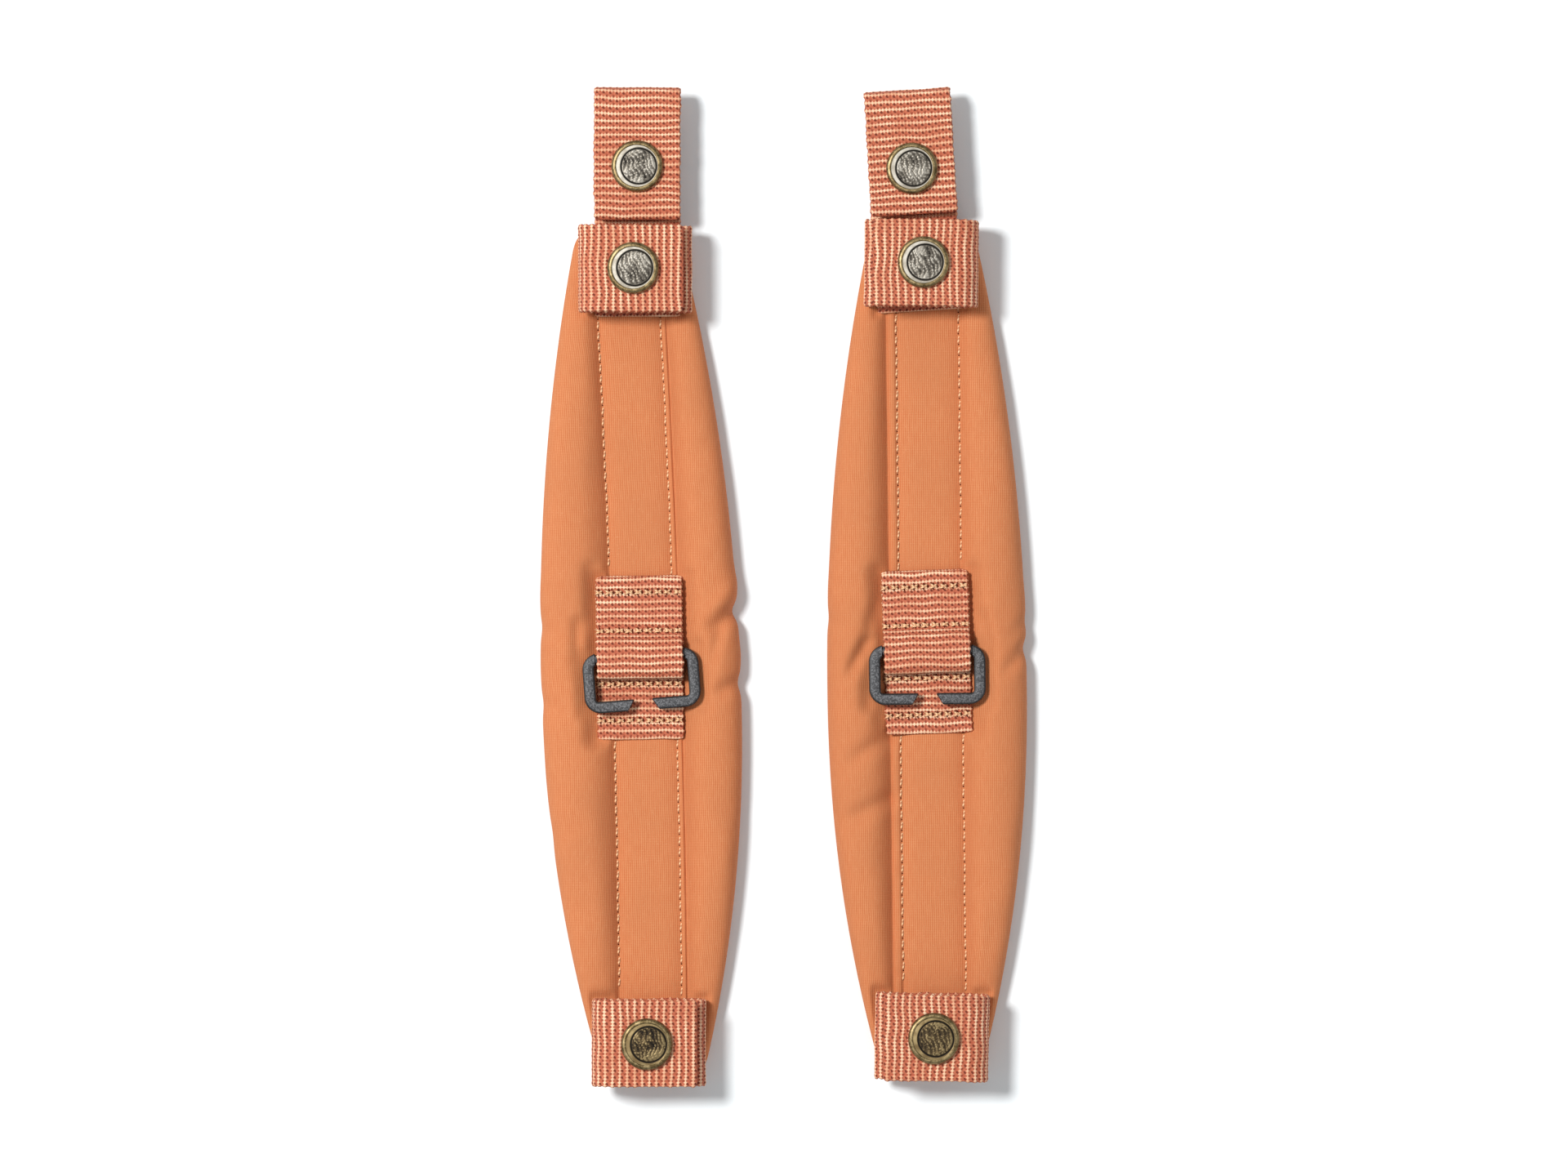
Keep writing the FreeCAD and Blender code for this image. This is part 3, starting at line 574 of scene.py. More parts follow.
class Pad:
    """One shoulder pad's padding: a closed form worked out from its CAD cover, then puffed and sewn."""

    def __init__(self, side):
        self.side = side
        self.place = pad_place(side)
        low, high = node_box(self.place, f"{side}_front_cover")
        self.half_length = (high[1] - low[1]) / 2
        self.widest = (high[0] - low[0]) / 2
        self.crest = high[2]
        ends = self.place.into(node_points(f"{side}_front_cover"))
        at_end = ends[ends[:, 1] > high[1] - 0.5]
        self.end_half = (at_end[:, 0].max() - at_end[:, 0].min()) / 2
        self.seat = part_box(f"{side}_keeper_base")[0].z / MM
        self.channel = CHANNEL[side]
        self.columns = self.lay_out_columns()

    def half_width(self, y):
        share = pad_share(y, self.half_length)
        return self.end_half + (self.widest - self.end_half) * (1 - share ** BOW)

    def wing_height(self, y, fullness):
        share = pad_share(y, self.half_length)
        return self.seat + (self.crest - self.seat) * fullness * (1 - share ** WING_FLATNESS) ** 2

    def middle(self, y):
        return self.channel["middle"] + self.channel["bow"] * y * y

    def lay_out_columns(self):
        """Each column is (side, kind, value). It lies on the centre strip, at a set way out from a
        seam, or on a wing."""
        lap = self.channel["lap"]
        inside = [("strip", s) for s in (0.0, 0.3, 0.55, 0.75, 0.88, 0.96)]
        near = [("seam", q) for q in (0.0, 0.45, 0.95, lap - 0.3, lap, lap + 0.3, lap + 1.0)]
        wing = [("wing", k / WING_COLUMNS) for k in range(1, WING_COLUMNS + 1)]
        half = inside[1:] + near + wing
        left = [(-1, kind, value) for kind, value in reversed(half)]
        return left + [(1, "strip", 0.0)] + [(1, kind, value) for kind, value in half]

    def column_x(self, column, y):
        sign, kind, value = column
        middle = self.middle(y) + sign * 0.12 * np.sin(y / 7.3 + 1.7 * sign) * np.sin(y / 3.1)
        if kind == "strip":
            return middle + sign * value * CHANNEL_HALF
        start = CHANNEL_HALF + self.channel["lap"] + 1.0
        if kind == "seam":
            return middle + sign * (CHANNEL_HALF + value)
        edge = self.half_width(y) - sign * middle
        return middle + sign * (start + (edge - start) * np.sin(value * math.pi / 2))

    def top_height(self, sign, x, y, fullness):
        """The front cloth's height where nothing presses on it."""
        middle = self.middle(y)
        out = np.abs(x - middle) - CHANNEL_HALF
        wing = self.half_width(y) - sign * middle - CHANNEL_HALF
        crest = self.wing_height(y, fullness)
        groove = STITCH_DEPTH_Z
        strip = groove + CENTRE_CROWN * (1 - np.clip(1 + out / CHANNEL_HALF, 0, 1) ** 4)
        lapped = sign == self.channel["lap_side"]
        start = self.channel["lap"] + 0.25 if lapped else 0.0
        share = np.clip((out - start) / np.maximum(wing - start, 0.1), 0, 1)
        climb = 1 - (1 - np.clip(share / WING_PEAK, 0, 1)) ** 2.3
        fall = np.sqrt(np.clip(1 - np.clip((share - WING_PEAK) / (1 - WING_PEAK), 0, 1) ** 3.0, 0, 1))
        rising = groove + (crest - groove) * climb
        falling = SEAM_HEIGHT + (crest - SEAM_HEIGHT) * fall
        height = np.where(share < WING_PEAK, rising, falling)
        if lapped:
            edge = smooth_step(out / 0.6) * smooth_step((self.channel["lap"] + 0.2 - out) / 0.4)
            height = np.where(out < self.channel["lap"] + 0.3, groove + LAP_RISE * edge, height)
        return np.where(out < 0, strip, height)

    def grid(self, fullness):
        """Points of the front and back cloth, a row of them for each station along the pad."""
        spread = np.linspace(-1, 1, PAD_ROWS)
        y = self.half_length * (0.75 * spread + 0.25 * np.sin(spread * math.pi / 2))
        from_end = self.half_length - np.abs(y)
        ends = np.sqrt(1 - (1 - np.clip(from_end / END_ROUND, 0.0, 1)) ** 2) * 0.86 + 0.14
        front, back = [], []
        for column in self.columns:
            x = self.column_x(column, y)
            z = self.top_height(column[0], x, y, fullness)
            share = np.abs(x) / self.half_width(y)
            curl = np.clip((share - SOLE_SHARE) / (1 - SOLE_SHARE), 0, 1)
            low = SEAM_HEIGHT * (1 - np.sqrt(1 - curl ** 2))
            gap = (np.abs(x - self.middle(y)) - CHANNEL_HALF) / 1.1
            low = low + SOLE_GROOVE * np.exp(-gap * gap) * (1 - curl)
            x = x * (0.90 + 0.10 * ends)
            front.append(np.stack([x, y, SEAM_HEIGHT + (z - SEAM_HEIGHT) * ends], 1))
            back.append(np.stack([x, y, SEAM_HEIGHT + (low - SEAM_HEIGHT) * ends], 1))
        return np.array(front).transpose(1, 0, 2), np.array(back).transpose(1, 0, 2)

    def mesh_parts(self, front, back):
        """Points, faces and cloth places of the closed form."""
        rows, columns, _ = front.shape
        ring = np.concatenate([front, back[:, -2:0:-1]], 1)
        count = ring.shape[1]
        faces = ring_faces(rows, count)
        for row, flip in ((0, False), (rows - 1, True)):
            for j in range(columns - 1):
                top = (row * count + j, row * count + j + 1)
                low = [row * count + (count - k) % count for k in (j, j + 1)]
                if j == 0:
                    corners = [top[0], top[1], low[1]]
                elif j == columns - 2:
                    corners = [top[0], top[1], low[0]]
                else:
                    corners = [top[0], top[1], low[1], low[0]]
                faces.append(tuple(reversed(corners)) if not flip else tuple(corners))
        steps = np.linalg.norm(np.diff(ring, axis=1), axis=2)
        across = np.concatenate([np.zeros((rows, 1)), np.cumsum(steps, 1)], 1)
        across -= across[:, columns // 2][:, None]
        uv = np.stack([across, ring[:, :, 1]], 2)
        return ring, faces, uv

    def build(self, material, things):
        front, back = self.grid(CUT_FULLNESS)
        ring, faces, uv = self.mesh_parts(front, back)
        cut = make_piece(f"{self.side}_padding", self.place.out(ring.reshape(-1, 3)), faces,
                         [material], uv.reshape(-1, 2))
        moved = self.place.into(puffed(cut, self.pins(ring.shape[:2]))).reshape(ring.shape)
        ring = ring + capped(moved - ring, PUFF_CAP)
        ring = self.sew(ring, things)
        cut.data.vertices.foreach_set("co", self.place.out(ring.reshape(-1, 3)).astype(np.float32).ravel())
        cut.data.update()
        smoother = cut.modifiers.new("smooth", "SUBSURF")
        smoother.levels = 1
        smoother.render_levels = 1
        self.ring = ring
        return cut

    def pins(self, shape):
        """1 where the cloth is held while it swells: the centre strip, the sole and the ends."""
        held = np.ones(shape)
        for j, (_, kind, value) in enumerate(self.columns):
            if kind == "wing":
                held[6:-6, j] = 0.0 if value < 0.99 else 0.6
        return held

    def sew(self, ring, things):
        """Creases, puckers and the dents of what lies on the pad."""
        ring = ring.copy()
        columns = len(self.columns)
        top = ring[:, :columns]
        x, y = top[:, :, 0], top[:, :, 1]
        signs = np.array([c[0] for c in self.columns])
        out = np.abs(x - self.middle(y)) - CHANNEL_HALF
        edge = np.clip((self.half_width(y) - np.abs(x)) / 3.0, 0, 1)
        loose = smooth_step(out / 4.0)
        wrinkle = np.array([[self.wrinkle(px, py) for px, py in zip(rx, ry)] for rx, ry in zip(x, y)])
        pucker = np.cos(y * 2 * math.pi / STITCH_PITCH + signs[None, :] * 1.3)
        height = top[:, :, 2] + wrinkle * loose * edge
        height = height + PUCKER * pucker * np.exp(-np.abs(out) / 1.6) * (np.abs(out) > 0.2)
        for start, end, depth, width in CREASES[self.side]:
            height = height - depth * crease(x, y, start, end, width)
        world = self.place.out(top)
        for place, low, high, under in things:
            height = pressed(height, world, place, low, high, under)
        top[:, :, 2] = np.maximum(height, 0.6)
        ring[:, :columns] = top
        self.pull_in_edges(ring)
        return ring

    def wrinkle(self, x, y):
        """Slow swells and small ripples of loose cloth."""
        seed = 3.7 if self.side == "left" else 11.9
        slow = noise.noise(Vector((x / 13, y / 24, seed)))
        quick = noise.noise(Vector((x / 6, y / 8, seed + 5)))
        return 0.55 * slow + 0.22 * quick

    def pull_in_edges(self, ring):
        """Where a crease reaches the pad's edge, the edge comes in a little, and below it juts out."""
        for start, _, depth, width in CREASES[self.side]:
            if abs(start[0]) < 27 or depth < 0:
                continue
            x, y = ring[:, :, 0], ring[:, :, 1]
            near = np.exp(-((y - start[1]) / (width * 1.3)) ** 2)
            above = 0.3 * np.exp(-((y - start[1] - 4.5 * width) / (width * 2.2)) ** 2)
            share = np.clip(np.abs(x) / self.half_width(y), 0, 1) ** 6 * (np.sign(x) == np.sign(start[0]))
            ring[:, :, 0] = x - np.sign(start[0]) * 0.62 * depth * (near - above) * share


def crease(x, y, start, end, width):
    """1 where the line from start to end begins, less towards its end, and 0 away from it."""
    sx, sy = start
    dx, dy = end[0] - sx, end[1] - sy
    share = np.clip(((x - sx) * dx + (y - sy) * dy) / (dx * dx + dy * dy), 0, 1)
    away = np.hypot(x - sx - share * dx, y - sy - share * dy) / width
    return np.exp(-away * away) * (1 - 0.75 * share ** 3)


def pressed(height, world, place, low, high, under):
    """Heights kept under a thing that lies on the cloth, which swells up again beside it."""
    local = place.into(world)
    dx = np.maximum(np.maximum(low[0] - local[..., 0], local[..., 0] - high[0]), 0)
    dy = np.maximum(np.maximum(low[1] - local[..., 1], local[..., 1] - high[1]), 0)
    away = np.hypot(dx, dy)
    ceiling = under + 0.75 * away + 0.10 * away * away
    softness = 0.5
    blend = np.clip(0.5 + (ceiling - height) / (2 * softness), 0, 1)
    return ceiling * (1 - blend) + height * blend - softness * blend * (1 - blend)


def capped(move, limit):
    """Moves no longer than limit."""
    length = np.linalg.norm(move, axis=-1, keepdims=True)
    return move * np.minimum(1, limit / np.maximum(length, 1e-9))


def puffed(piece, held):
    """Where the cloth of a closed piece goes as its filling swells it, in metres."""
    scene = bpy.context.scene
    group = piece.vertex_groups.new(name="held")
    for index, weight in enumerate(held.ravel()):
        if weight > 0:
            group.add([index], float(weight), "REPLACE")
    cloth = piece.modifiers.new("puff", "CLOTH")
    settings = cloth.settings
    settings.quality = 6
    settings.mass = 0.12
    settings.tension_stiffness = 18
    settings.compression_stiffness = 18
    settings.shear_stiffness = 6
    settings.bending_stiffness = 0.4
    settings.use_pressure = True
    settings.uniform_pressure_force = PUFF_PRESSURE
    settings.vertex_group_mass = "held"
    settings.effector_weights.gravity = 0.0
    cloth.collision_settings.use_collision = False
    cloth.collision_settings.use_self_collision = False
    for step in range(1, PUFF_FRAMES + 1):
        scene.frame_set(step)
    shaped = piece.evaluated_get(bpy.context.evaluated_depsgraph_get())
    points = np.empty(len(piece.data.vertices) * 3)
    shaped.data.vertices.foreach_get("co", points)
    piece.modifiers.remove(cloth)
    piece.vertex_groups.clear()
    scene.frame_set(1)
    return points.reshape(-1, 3)


# ---------------------------------------------------------------- stitching
def thread_bits(name, place, runs, radius, materials, kinds, body, hole_size=1.0):
    """Short lengths of thread, each a fat little arch from one end to the other, in one piece."""
    points, faces, uv, slots = [], [], [], []
    for number, (start, end, arch) in enumerate(runs):
        start, end = np.array(start, float), np.array(end, float)
        way = end - start
        length = np.linalg.norm(way)
        side = np.cross(way / length, (0, 0, 1.0))
        side /= max(np.linalg.norm(side), 1e-9)
        up = np.cross(side, way / length)
        base = len(points)
        # the bits of painted shade for needle holes are hole_size times as fat
        wide = radius * (hole_size if kinds[number] else 1.0)
        for share, fat in THREAD_RINGS:
            centre = start + way * share + np.array((0, 0, arch * math.sin(share * math.pi)))
            for k in range(THREAD_SIDES):
                turn = 2 * math.pi * k / THREAD_SIDES
                points.append(centre + wide * fat * (side * math.cos(turn) + up * math.sin(turn)))
                uv.append((k / THREAD_SIDES, share * length / (radius * 4)))
        for face in ring_faces(len(THREAD_RINGS), THREAD_SIDES):
            faces.append(tuple(base + v for v in face))
            slots.append(kinds[number])
        last = base + (len(THREAD_RINGS) - 1) * THREAD_SIDES
        faces.append(tuple(base + k for k in reversed(range(THREAD_SIDES))))
        faces.append(tuple(last + k for k in range(THREAD_SIDES)))
        slots += [kinds[number]] * 2
    piece = make_piece(name, place.out(points), faces, materials, uv, True, slots)
    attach(piece, body)


def covered(world, things):
    """True where a thing lies over a point of the cloth."""
    for place, low, high, _ in things:
        x, y, _ = place.into(world)
        if low[0] < x < high[0] and low[1] < y < high[1]:
            return True
    return False


def on_line(line, y):
    """The point of a line of points at y."""
    return [np.interp(y, line[:, 1], line[:, k]) for k in range(3)]


def sew_channels(pad, things, thread, hole_shade):
    """The two rows of stitches along the pad's channel, front and back."""
    rng = random.Random(5 if pad.side == "left" else 9)
    count = pad.ring.shape[1]
    runs, kinds = [], []
    for sign in (-1, 1):
        column = next(j for j, c in enumerate(pad.columns) if c[0] == sign and c[1:] == ("seam", 0.0))
        for column_index, face in ((column, 1), ((count - column) % count, -1)):
            line = pad.ring[:, column_index]
            y = line[0, 1] + 3.0
            while y < line[-1, 1] - STITCH_PITCH - 2:
                start = on_line(line, y + 0.25)
                end = on_line(line, y + STITCH_PITCH - 0.55)
                hole_at = on_line(line, y + STITCH_PITCH - 0.15)
                y += STITCH_PITCH
                if face > 0 and covered(pad.place.out([start])[0], things):
                    continue
                slant = 0.16 * rng.uniform(0.6, 1.3)
                start[0] -= slant
                end[0] += slant
                lift = face * THREAD * 0.75
                start[2] += lift
                end[2] += lift
                runs.append((start, end, face * 0.18))
                kinds.append(0)
                # a short bit of painted shade marks one of the needle holes
                tip = list(hole_at)
                tip[1] += 0.42
                for point in (hole_at, tip):
                    point[2] += face * 0.06
                runs.append((hole_at, tip, 0.0))
                kinds.append(1)
    thread_bits(f"{pad.side}_channel_stitching", pad.place, runs, THREAD, [thread, hole_shade], kinds,
                f"{pad.side}_pad")


def lock_row(side, number, place, row, half, height, thread, hole_shade):
    """A row of heavy lock stitching across the keeper: crossed threads, with short bits of painted shade for the
    needle holes between.
    """
    rng = random.Random(21 * number + (0 if side == "left" else 7))
    runs, kinds = [], []
    start = -half - 0.35
    while start < half - 0.4:
        reach = min(LOCK_PITCH * rng.uniform(0.8, 0.98), half + 0.35 - start)
        for way in (-1, 1):
            for strand in (0.0, 0.42):
                y0 = row + way * (0.72 - strand) + rng.uniform(-0.16, 0.16)
                y1 = row - way * (0.55 - strand) + rng.uniform(-0.16, 0.16)
                x0 = start + strand * 0.6 + rng.uniform(0, 0.2)
                x1 = start + reach - strand * 0.4
                runs.append(((x0, y0, height - strand * 0.1), (x1, y1, height + way * 0.05), 0.26))
                kinds.append(0)
        # short bits of painted shade mark the needle holes between the crossings
        for shift, y in ((reach * 0.52, 0.62), (reach * 0.48, -0.66), (reach + 0.02, rng.uniform(-0.2, 0.2))):
            x = start + shift
            if abs(x) < half - 0.4:
                runs.append(((x - 0.16, row + y, height - 0.1), (x + 0.2, row + y + 0.1, height - 0.1), 0.0))
                kinds.append(1)
        start += LOCK_PITCH
    thread_bits(f"{side}_keeper_stitching_{number}", place, runs, THREAD, [thread, hole_shade], kinds,
                f"{side}_pad", hole_size=1.6)


# ---------------------------------------------------------------- webbing
def arc(centre, radius, start, end, steps=14):
    """Points of an arc, with its angles in degrees."""
    turns = np.radians(np.linspace(start, end, steps))
    return [(centre[0] + radius * math.cos(t), centre[1] + radius * math.sin(t)) for t in turns]


def resample(path, step):
    """The same line in even steps."""
    path = np.array(path, float)
    lengths = np.concatenate([[0], np.cumsum(np.linalg.norm(np.diff(path, axis=0), axis=1))])
    count = max(int(round(lengths[-1] / step)), 2)
    at = np.linspace(0, lengths[-1], count + 1)
    return np.stack([np.interp(at, lengths, path[:, k]) for k in range(2)], 1), at


def softened(path, times):
    """A line with its corners worn round, its ends kept."""
    for _ in range(times):
        inner = (path[:-2] + 2 * path[1:-1] + path[2:]) / 4
        path = np.concatenate([path[:1], inner, path[-1:]])
    return path


def noise_along(at, length, y, z):
    """Smooth noise at each distance in at; length is how slowly it changes."""
    return np.array([noise.noise(Vector((s / length, y, z))) for s in at])


def column_shares():
    """Where webbing's columns of points lie across it, from -1 to 1 and closer at the edges."""
    even = np.linspace(-1, 1, WEB_COLUMNS)
    crowded = np.sin(even * math.pi / 2 * 0.9) / math.sin(math.pi / 2 * 0.9)
    return 0.45 * crowded + 0.55 * even


def webbing(name, place, path, half, thick, crosswise, material, seed, first_rib=0.0, worn=2):
    """A length of ribbed webbing. path is its middle line, as distances along one of the place's axes
    and heights; crosswise is the axis that its width runs along."""
    line, at = resample(path, RIB / RIB_STEPS)
    line = softened(line, worn)
    tangent = np.gradient(line, axis=0)
    tangent /= np.linalg.norm(tangent, axis=1, keepdims=True)
    normal = np.stack([-tangent[:, 1], tangent[:, 0]], 1)
    drift = noise_along(at, 9, seed, 0.5)
    edges = [noise_along(at, 2.6, seed + k, 7.5) for k in (1, 2)]
    from_end = np.clip(np.minimum(at, at[-1] - at) / END_CORNER, 0, 1)
    cut_back = END_CORNER * (1 - np.sqrt(1 - (1 - from_end) ** 2))
    front, back, ribs = [], [], []
    for share in column_shares():
        along = at - first_rib + RIB_WOBBLE * noise_along(at, 8, share * 1.7, seed + 9)
        ridge = (0.5 + 0.5 * np.cos(along * 2 * math.pi / RIB)) ** 1.6
        edge = edges[0] if share < 0 else edges[1]
        reach = half - 0.24 + 0.26 * ridge + EDGE_WANDER * edge - cut_back
        across = share * reach + WEB_DRIFT * drift
        near_edge = np.clip((abs(share) - (1 - SELVEDGE)) / SELVEDGE, 0, 1)
        body = (thick / 2 - 0.12) * math.sqrt(1 - 0.8 * near_edge ** 2)
        beads = 0.72 + 0.28 * np.cos(across * 2 * math.pi / BEAD)
        proud = body + RIB_HEIGHT * ridge * beads * (1 - 0.35 * near_edge)
        proud = proud * (0.72 + 0.28 * from_end)
        sag = WEB_SAG * noise_along(at, 11, share * 1.6, seed + 3)
        for sign, sheet in ((1, front), (-1, back)):
            offset = line + normal * (sign * proud + sag)[:, None]
            sheet.append(np.stack([offset[:, 0], across, offset[:, 1]], 1))
        ribs.append(along)
    front, back = np.array(front), np.array(back)
    ring = np.concatenate([front, back[::-1]], 0).transpose(1, 0, 2)
    ribs = np.concatenate([ribs, ribs[::-1]], 0).T
    rows, count, _ = ring.shape
    faces = ring_faces(rows, count)
    for row, flip in ((0, True), (rows - 1, False)):
        for j in range(WEB_COLUMNS - 1):
            corners = [row * count + v for v in (j, j + 1, count - 2 - j, count - 1 - j)]
            faces.append(tuple(corners) if not flip else tuple(reversed(corners)))
    uv = np.stack([ring[:, :, 1], ribs], 2)
    if crosswise == "x":
        ring = ring[:, :, [1, 0, 2]]
    piece = make_piece(name, place.out(ring.reshape(-1, 3)), faces, [material], uv.reshape(-1, 2))
    outward(piece)
    return piece


def make_loop(side, material, seed):
    """The snap loop past the pad's top end: base, fold and flap in one length of webbing."""
    place = loop_place(side)
    base_low, base_high = node_box(place, f"{side}_loop_base")
    flap_low, flap_high = node_box(place, f"{side}_loop_flap")
    thick = base_high[2] - base_low[2]
    half = (base_high[0] - base_low[0]) / 2
    bottom = thick / 2
    top = flap_high[2] - thick / 2
    radius = (top - bottom) / 2
    path = [(base_low[1], bottom), (-0.5, bottom)]
    path += arc((0.0, bottom + radius), radius, -90, 90, 18)
    path += [(-0.6, top), (flap_low[1] + 1.6, top), (flap_low[1] + 0.5, top - 0.12),
             (flap_low[1] + 0.1, top - 0.5)]
    piece = webbing(f"{side}_snap_loop", place, path, half, thick, "x", material, seed)
    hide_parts(f"{side}_loop_base", f"{side}_loop_fold", f"{side}_loop_flap")
    place.out((0, 0, base_high[2] + CLEAR))
    place.out((0, 0, flap_low[2] - CLEAR))
    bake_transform(piece)


def make_band(side, end, material, seed):
    """A band round the pad's end: its base, the outer fold and flap, and the inner fold and tab."""
    place = band_place(side, end)
    name = f"{side}_{end}"
    base_low, base_high = node_box(place, f"{name}_band_base")
    flap_low, flap_high = node_box(place, f"{name}_band_flap")
    tab_low, tab_high = node_box(place, f"{name}_band_tab")
    thick = base_high[2] - base_low[2]
    half = (base_high[1] - base_low[1]) / 2
    bottom = thick / 2
    flap = flap_high[2] - thick / 2
    tab = tab_high[2] - thick / 2
    outer = base_high[0]
    inner = base_low[0]
    rise = (flap - bottom) / 2
    path = [(0.0, bottom), (outer - 0.5, bottom)] + arc((outer, bottom + rise), rise, -90, 90, 22)
    path += [(outer - 0.6, flap), (flap_low[0] + 1.8, flap), (flap_low[0] + 0.6, flap - 0.14),
             (flap_low[0] + 0.15, flap - 0.55)]
    upper = webbing(f"{name}_band_over", place, path, half, thick, "y", material, seed)
    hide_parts(f"{name}_band_flap", f"{name}_band_base", f"{name}_band_folds")
    place.out((outer, 0, base_high[2] + CLEAR))
    place.out((outer, 0, flap_low[2] - CLEAR))
    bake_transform(upper)
    rise = (tab - bottom) / 2
    path = [(0.0, bottom), (inner + 0.5, bottom)] + arc((inner, bottom + rise), rise, -90, -270, 18)
    path += [(inner + 0.6, tab), (tab_high[0], tab)]
    under = webbing(f"{name}_band_under", place, path, half, thick, "y", material, seed + 20)
    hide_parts(f"{name}_band_tab")
    place.out((inner, 0, base_high[2] + CLEAR))
    place.out((inner, 0, tab_low[2] - CLEAR))
    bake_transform(under)


def make_keeper(side, material, thread, hole_shade, seed):
    """The webbing sewn down the pad's middle and the doubled loop on it that holds the hook."""
    place = keeper_place(side)
    base_low, base_high = node_box(place, f"{side}_keeper_base")
    loop_low, loop_high = node_box(place, f"{side}_hook_loop")
    thick = base_high[2]
    half = (base_high[0] - base_low[0]) / 2
    middle = thick / 2
    path = [(base_high[1] - 0.1, middle - 0.45), (base_high[1] - 0.7, middle), (base_low[1] + 0.7, middle),
            (base_low[1] + 0.1, middle - 0.45)]
    keeper = webbing(f"{side}_keeper", place, path, half, thick, "x", material, seed, first_rib=0.6)
    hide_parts(f"{side}_keeper_base")
    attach(keeper, f"{side}_pad")
    top = loop_high[1]
    end = loop_low[1]
    roof = loop_high[2] - thick / 2
    under = thick * 1.5
    over = thick * 2.5
    radius = (roof - under) / 2
    rise_from = top - HOLDER_SEWN
    loop = [(top - 0.5, over - 0.5), (top - 1.0, over), (rise_from + 0.6, over)]
    loop += [(rise_from - 0.8, over + 0.35), (rise_from - 2.6, roof - 1.0), (rise_from - 4.4, roof - 0.12),
             (rise_from - 5.4, roof)]
    loop += [(end + radius + thick / 2 + 0.3, roof)]
    loop += arc((end + radius + thick / 2, under + radius), radius, 90, 270, 16)
    loop += [(top - 1.0, under), (top - 0.6, under + 0.3)]
    holder = webbing(f"{side}_hook_holder", place, loop, half - 0.05, thick, "x", material, seed + 5,
                     first_rib=0.9, worn=3)
    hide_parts(f"{side}_hook_loop")
    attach(holder, f"{side}_pad")
    length = base_high[1] - base_low[1]
    on_loop = [top - length * 0.10, top - length * 0.335]
    on_base = [top - length * 0.66, top - length * 0.885]
    rows = [(row, over + thick / 2) for row in on_loop] + [(row, thick) for row in on_base]
    for number, (row, height) in enumerate(rows, start=1):
        lock_row(side, number, place, row, half, height + 0.16, thread, hole_shade)


# ---------------------------------------------------------------- hook
def arm_stations(half, top, bottom, bar):
    """Pairs of points, outer and inner, down one arm of the hook from its top to its lip."""
    inner = half - bar
    lip = HOOK_MOUTH / 2
    corner = HOOK_CORNER
    stub = inner - 0.6
    low = top - bar
    pairs = [((stub, top - 0.35), (stub, low + 0.35)), ((stub + 0.25, top), (stub + 0.25, low))]
    inside = arc((inner - 1.0, low - 1.0), 1.0, 62, 0, 10)
    pairs += list(zip(arc((half - corner, top - corner), corner, 72, 0, 10), inside))
    for k in (1, 2):
        y = (top - corner) + (bottom - top + 2 * corner) * k / 3
        pairs.append(((half, y), (inner, y)))
    turns = zip(arc((half - corner, bottom + corner), corner, 0, -90, 12),
                arc((inner - 0.8, bottom + bar + 0.8), 0.8, 0, -90, 12))
    pairs += list(turns)
    pairs += [((lip + HOOK_FLARE + 1.2, bottom), (lip + 1.3, bottom + bar)),
              ((lip + HOOK_FLARE + 0.35, bottom), (lip + 0.35, bottom + bar)),
              ((lip + HOOK_FLARE + 0.05, bottom + 0.3), (lip + 0.1, bottom + bar - 0.35))]
    return pairs


def bar_ring(outer, inner, half_thick, ending):
    """The flat bar's outline between two points, with its edges worn off. At an ending it is thinner."""
    outer, inner = np.array(outer), np.array(inner)
    way = (inner - outer) / np.linalg.norm(inner - outer)
    top = half_thick - (0.4 if ending else 0.0)
    wear = HOOK_BEVEL * (1.2 if ending else 1.0)
    rising = [(wear, -top), (wear * 0.3, wear * 0.3 - top), (0.0, wear - top),
              (0.0, top - wear), (wear * 0.3, top - wear * 0.3), (wear, top)]
    ring = [(*(outer + way * back), height) for back, height in rising]
    return ring + [(*(inner - way * back), height) for back, height in reversed(rising)]


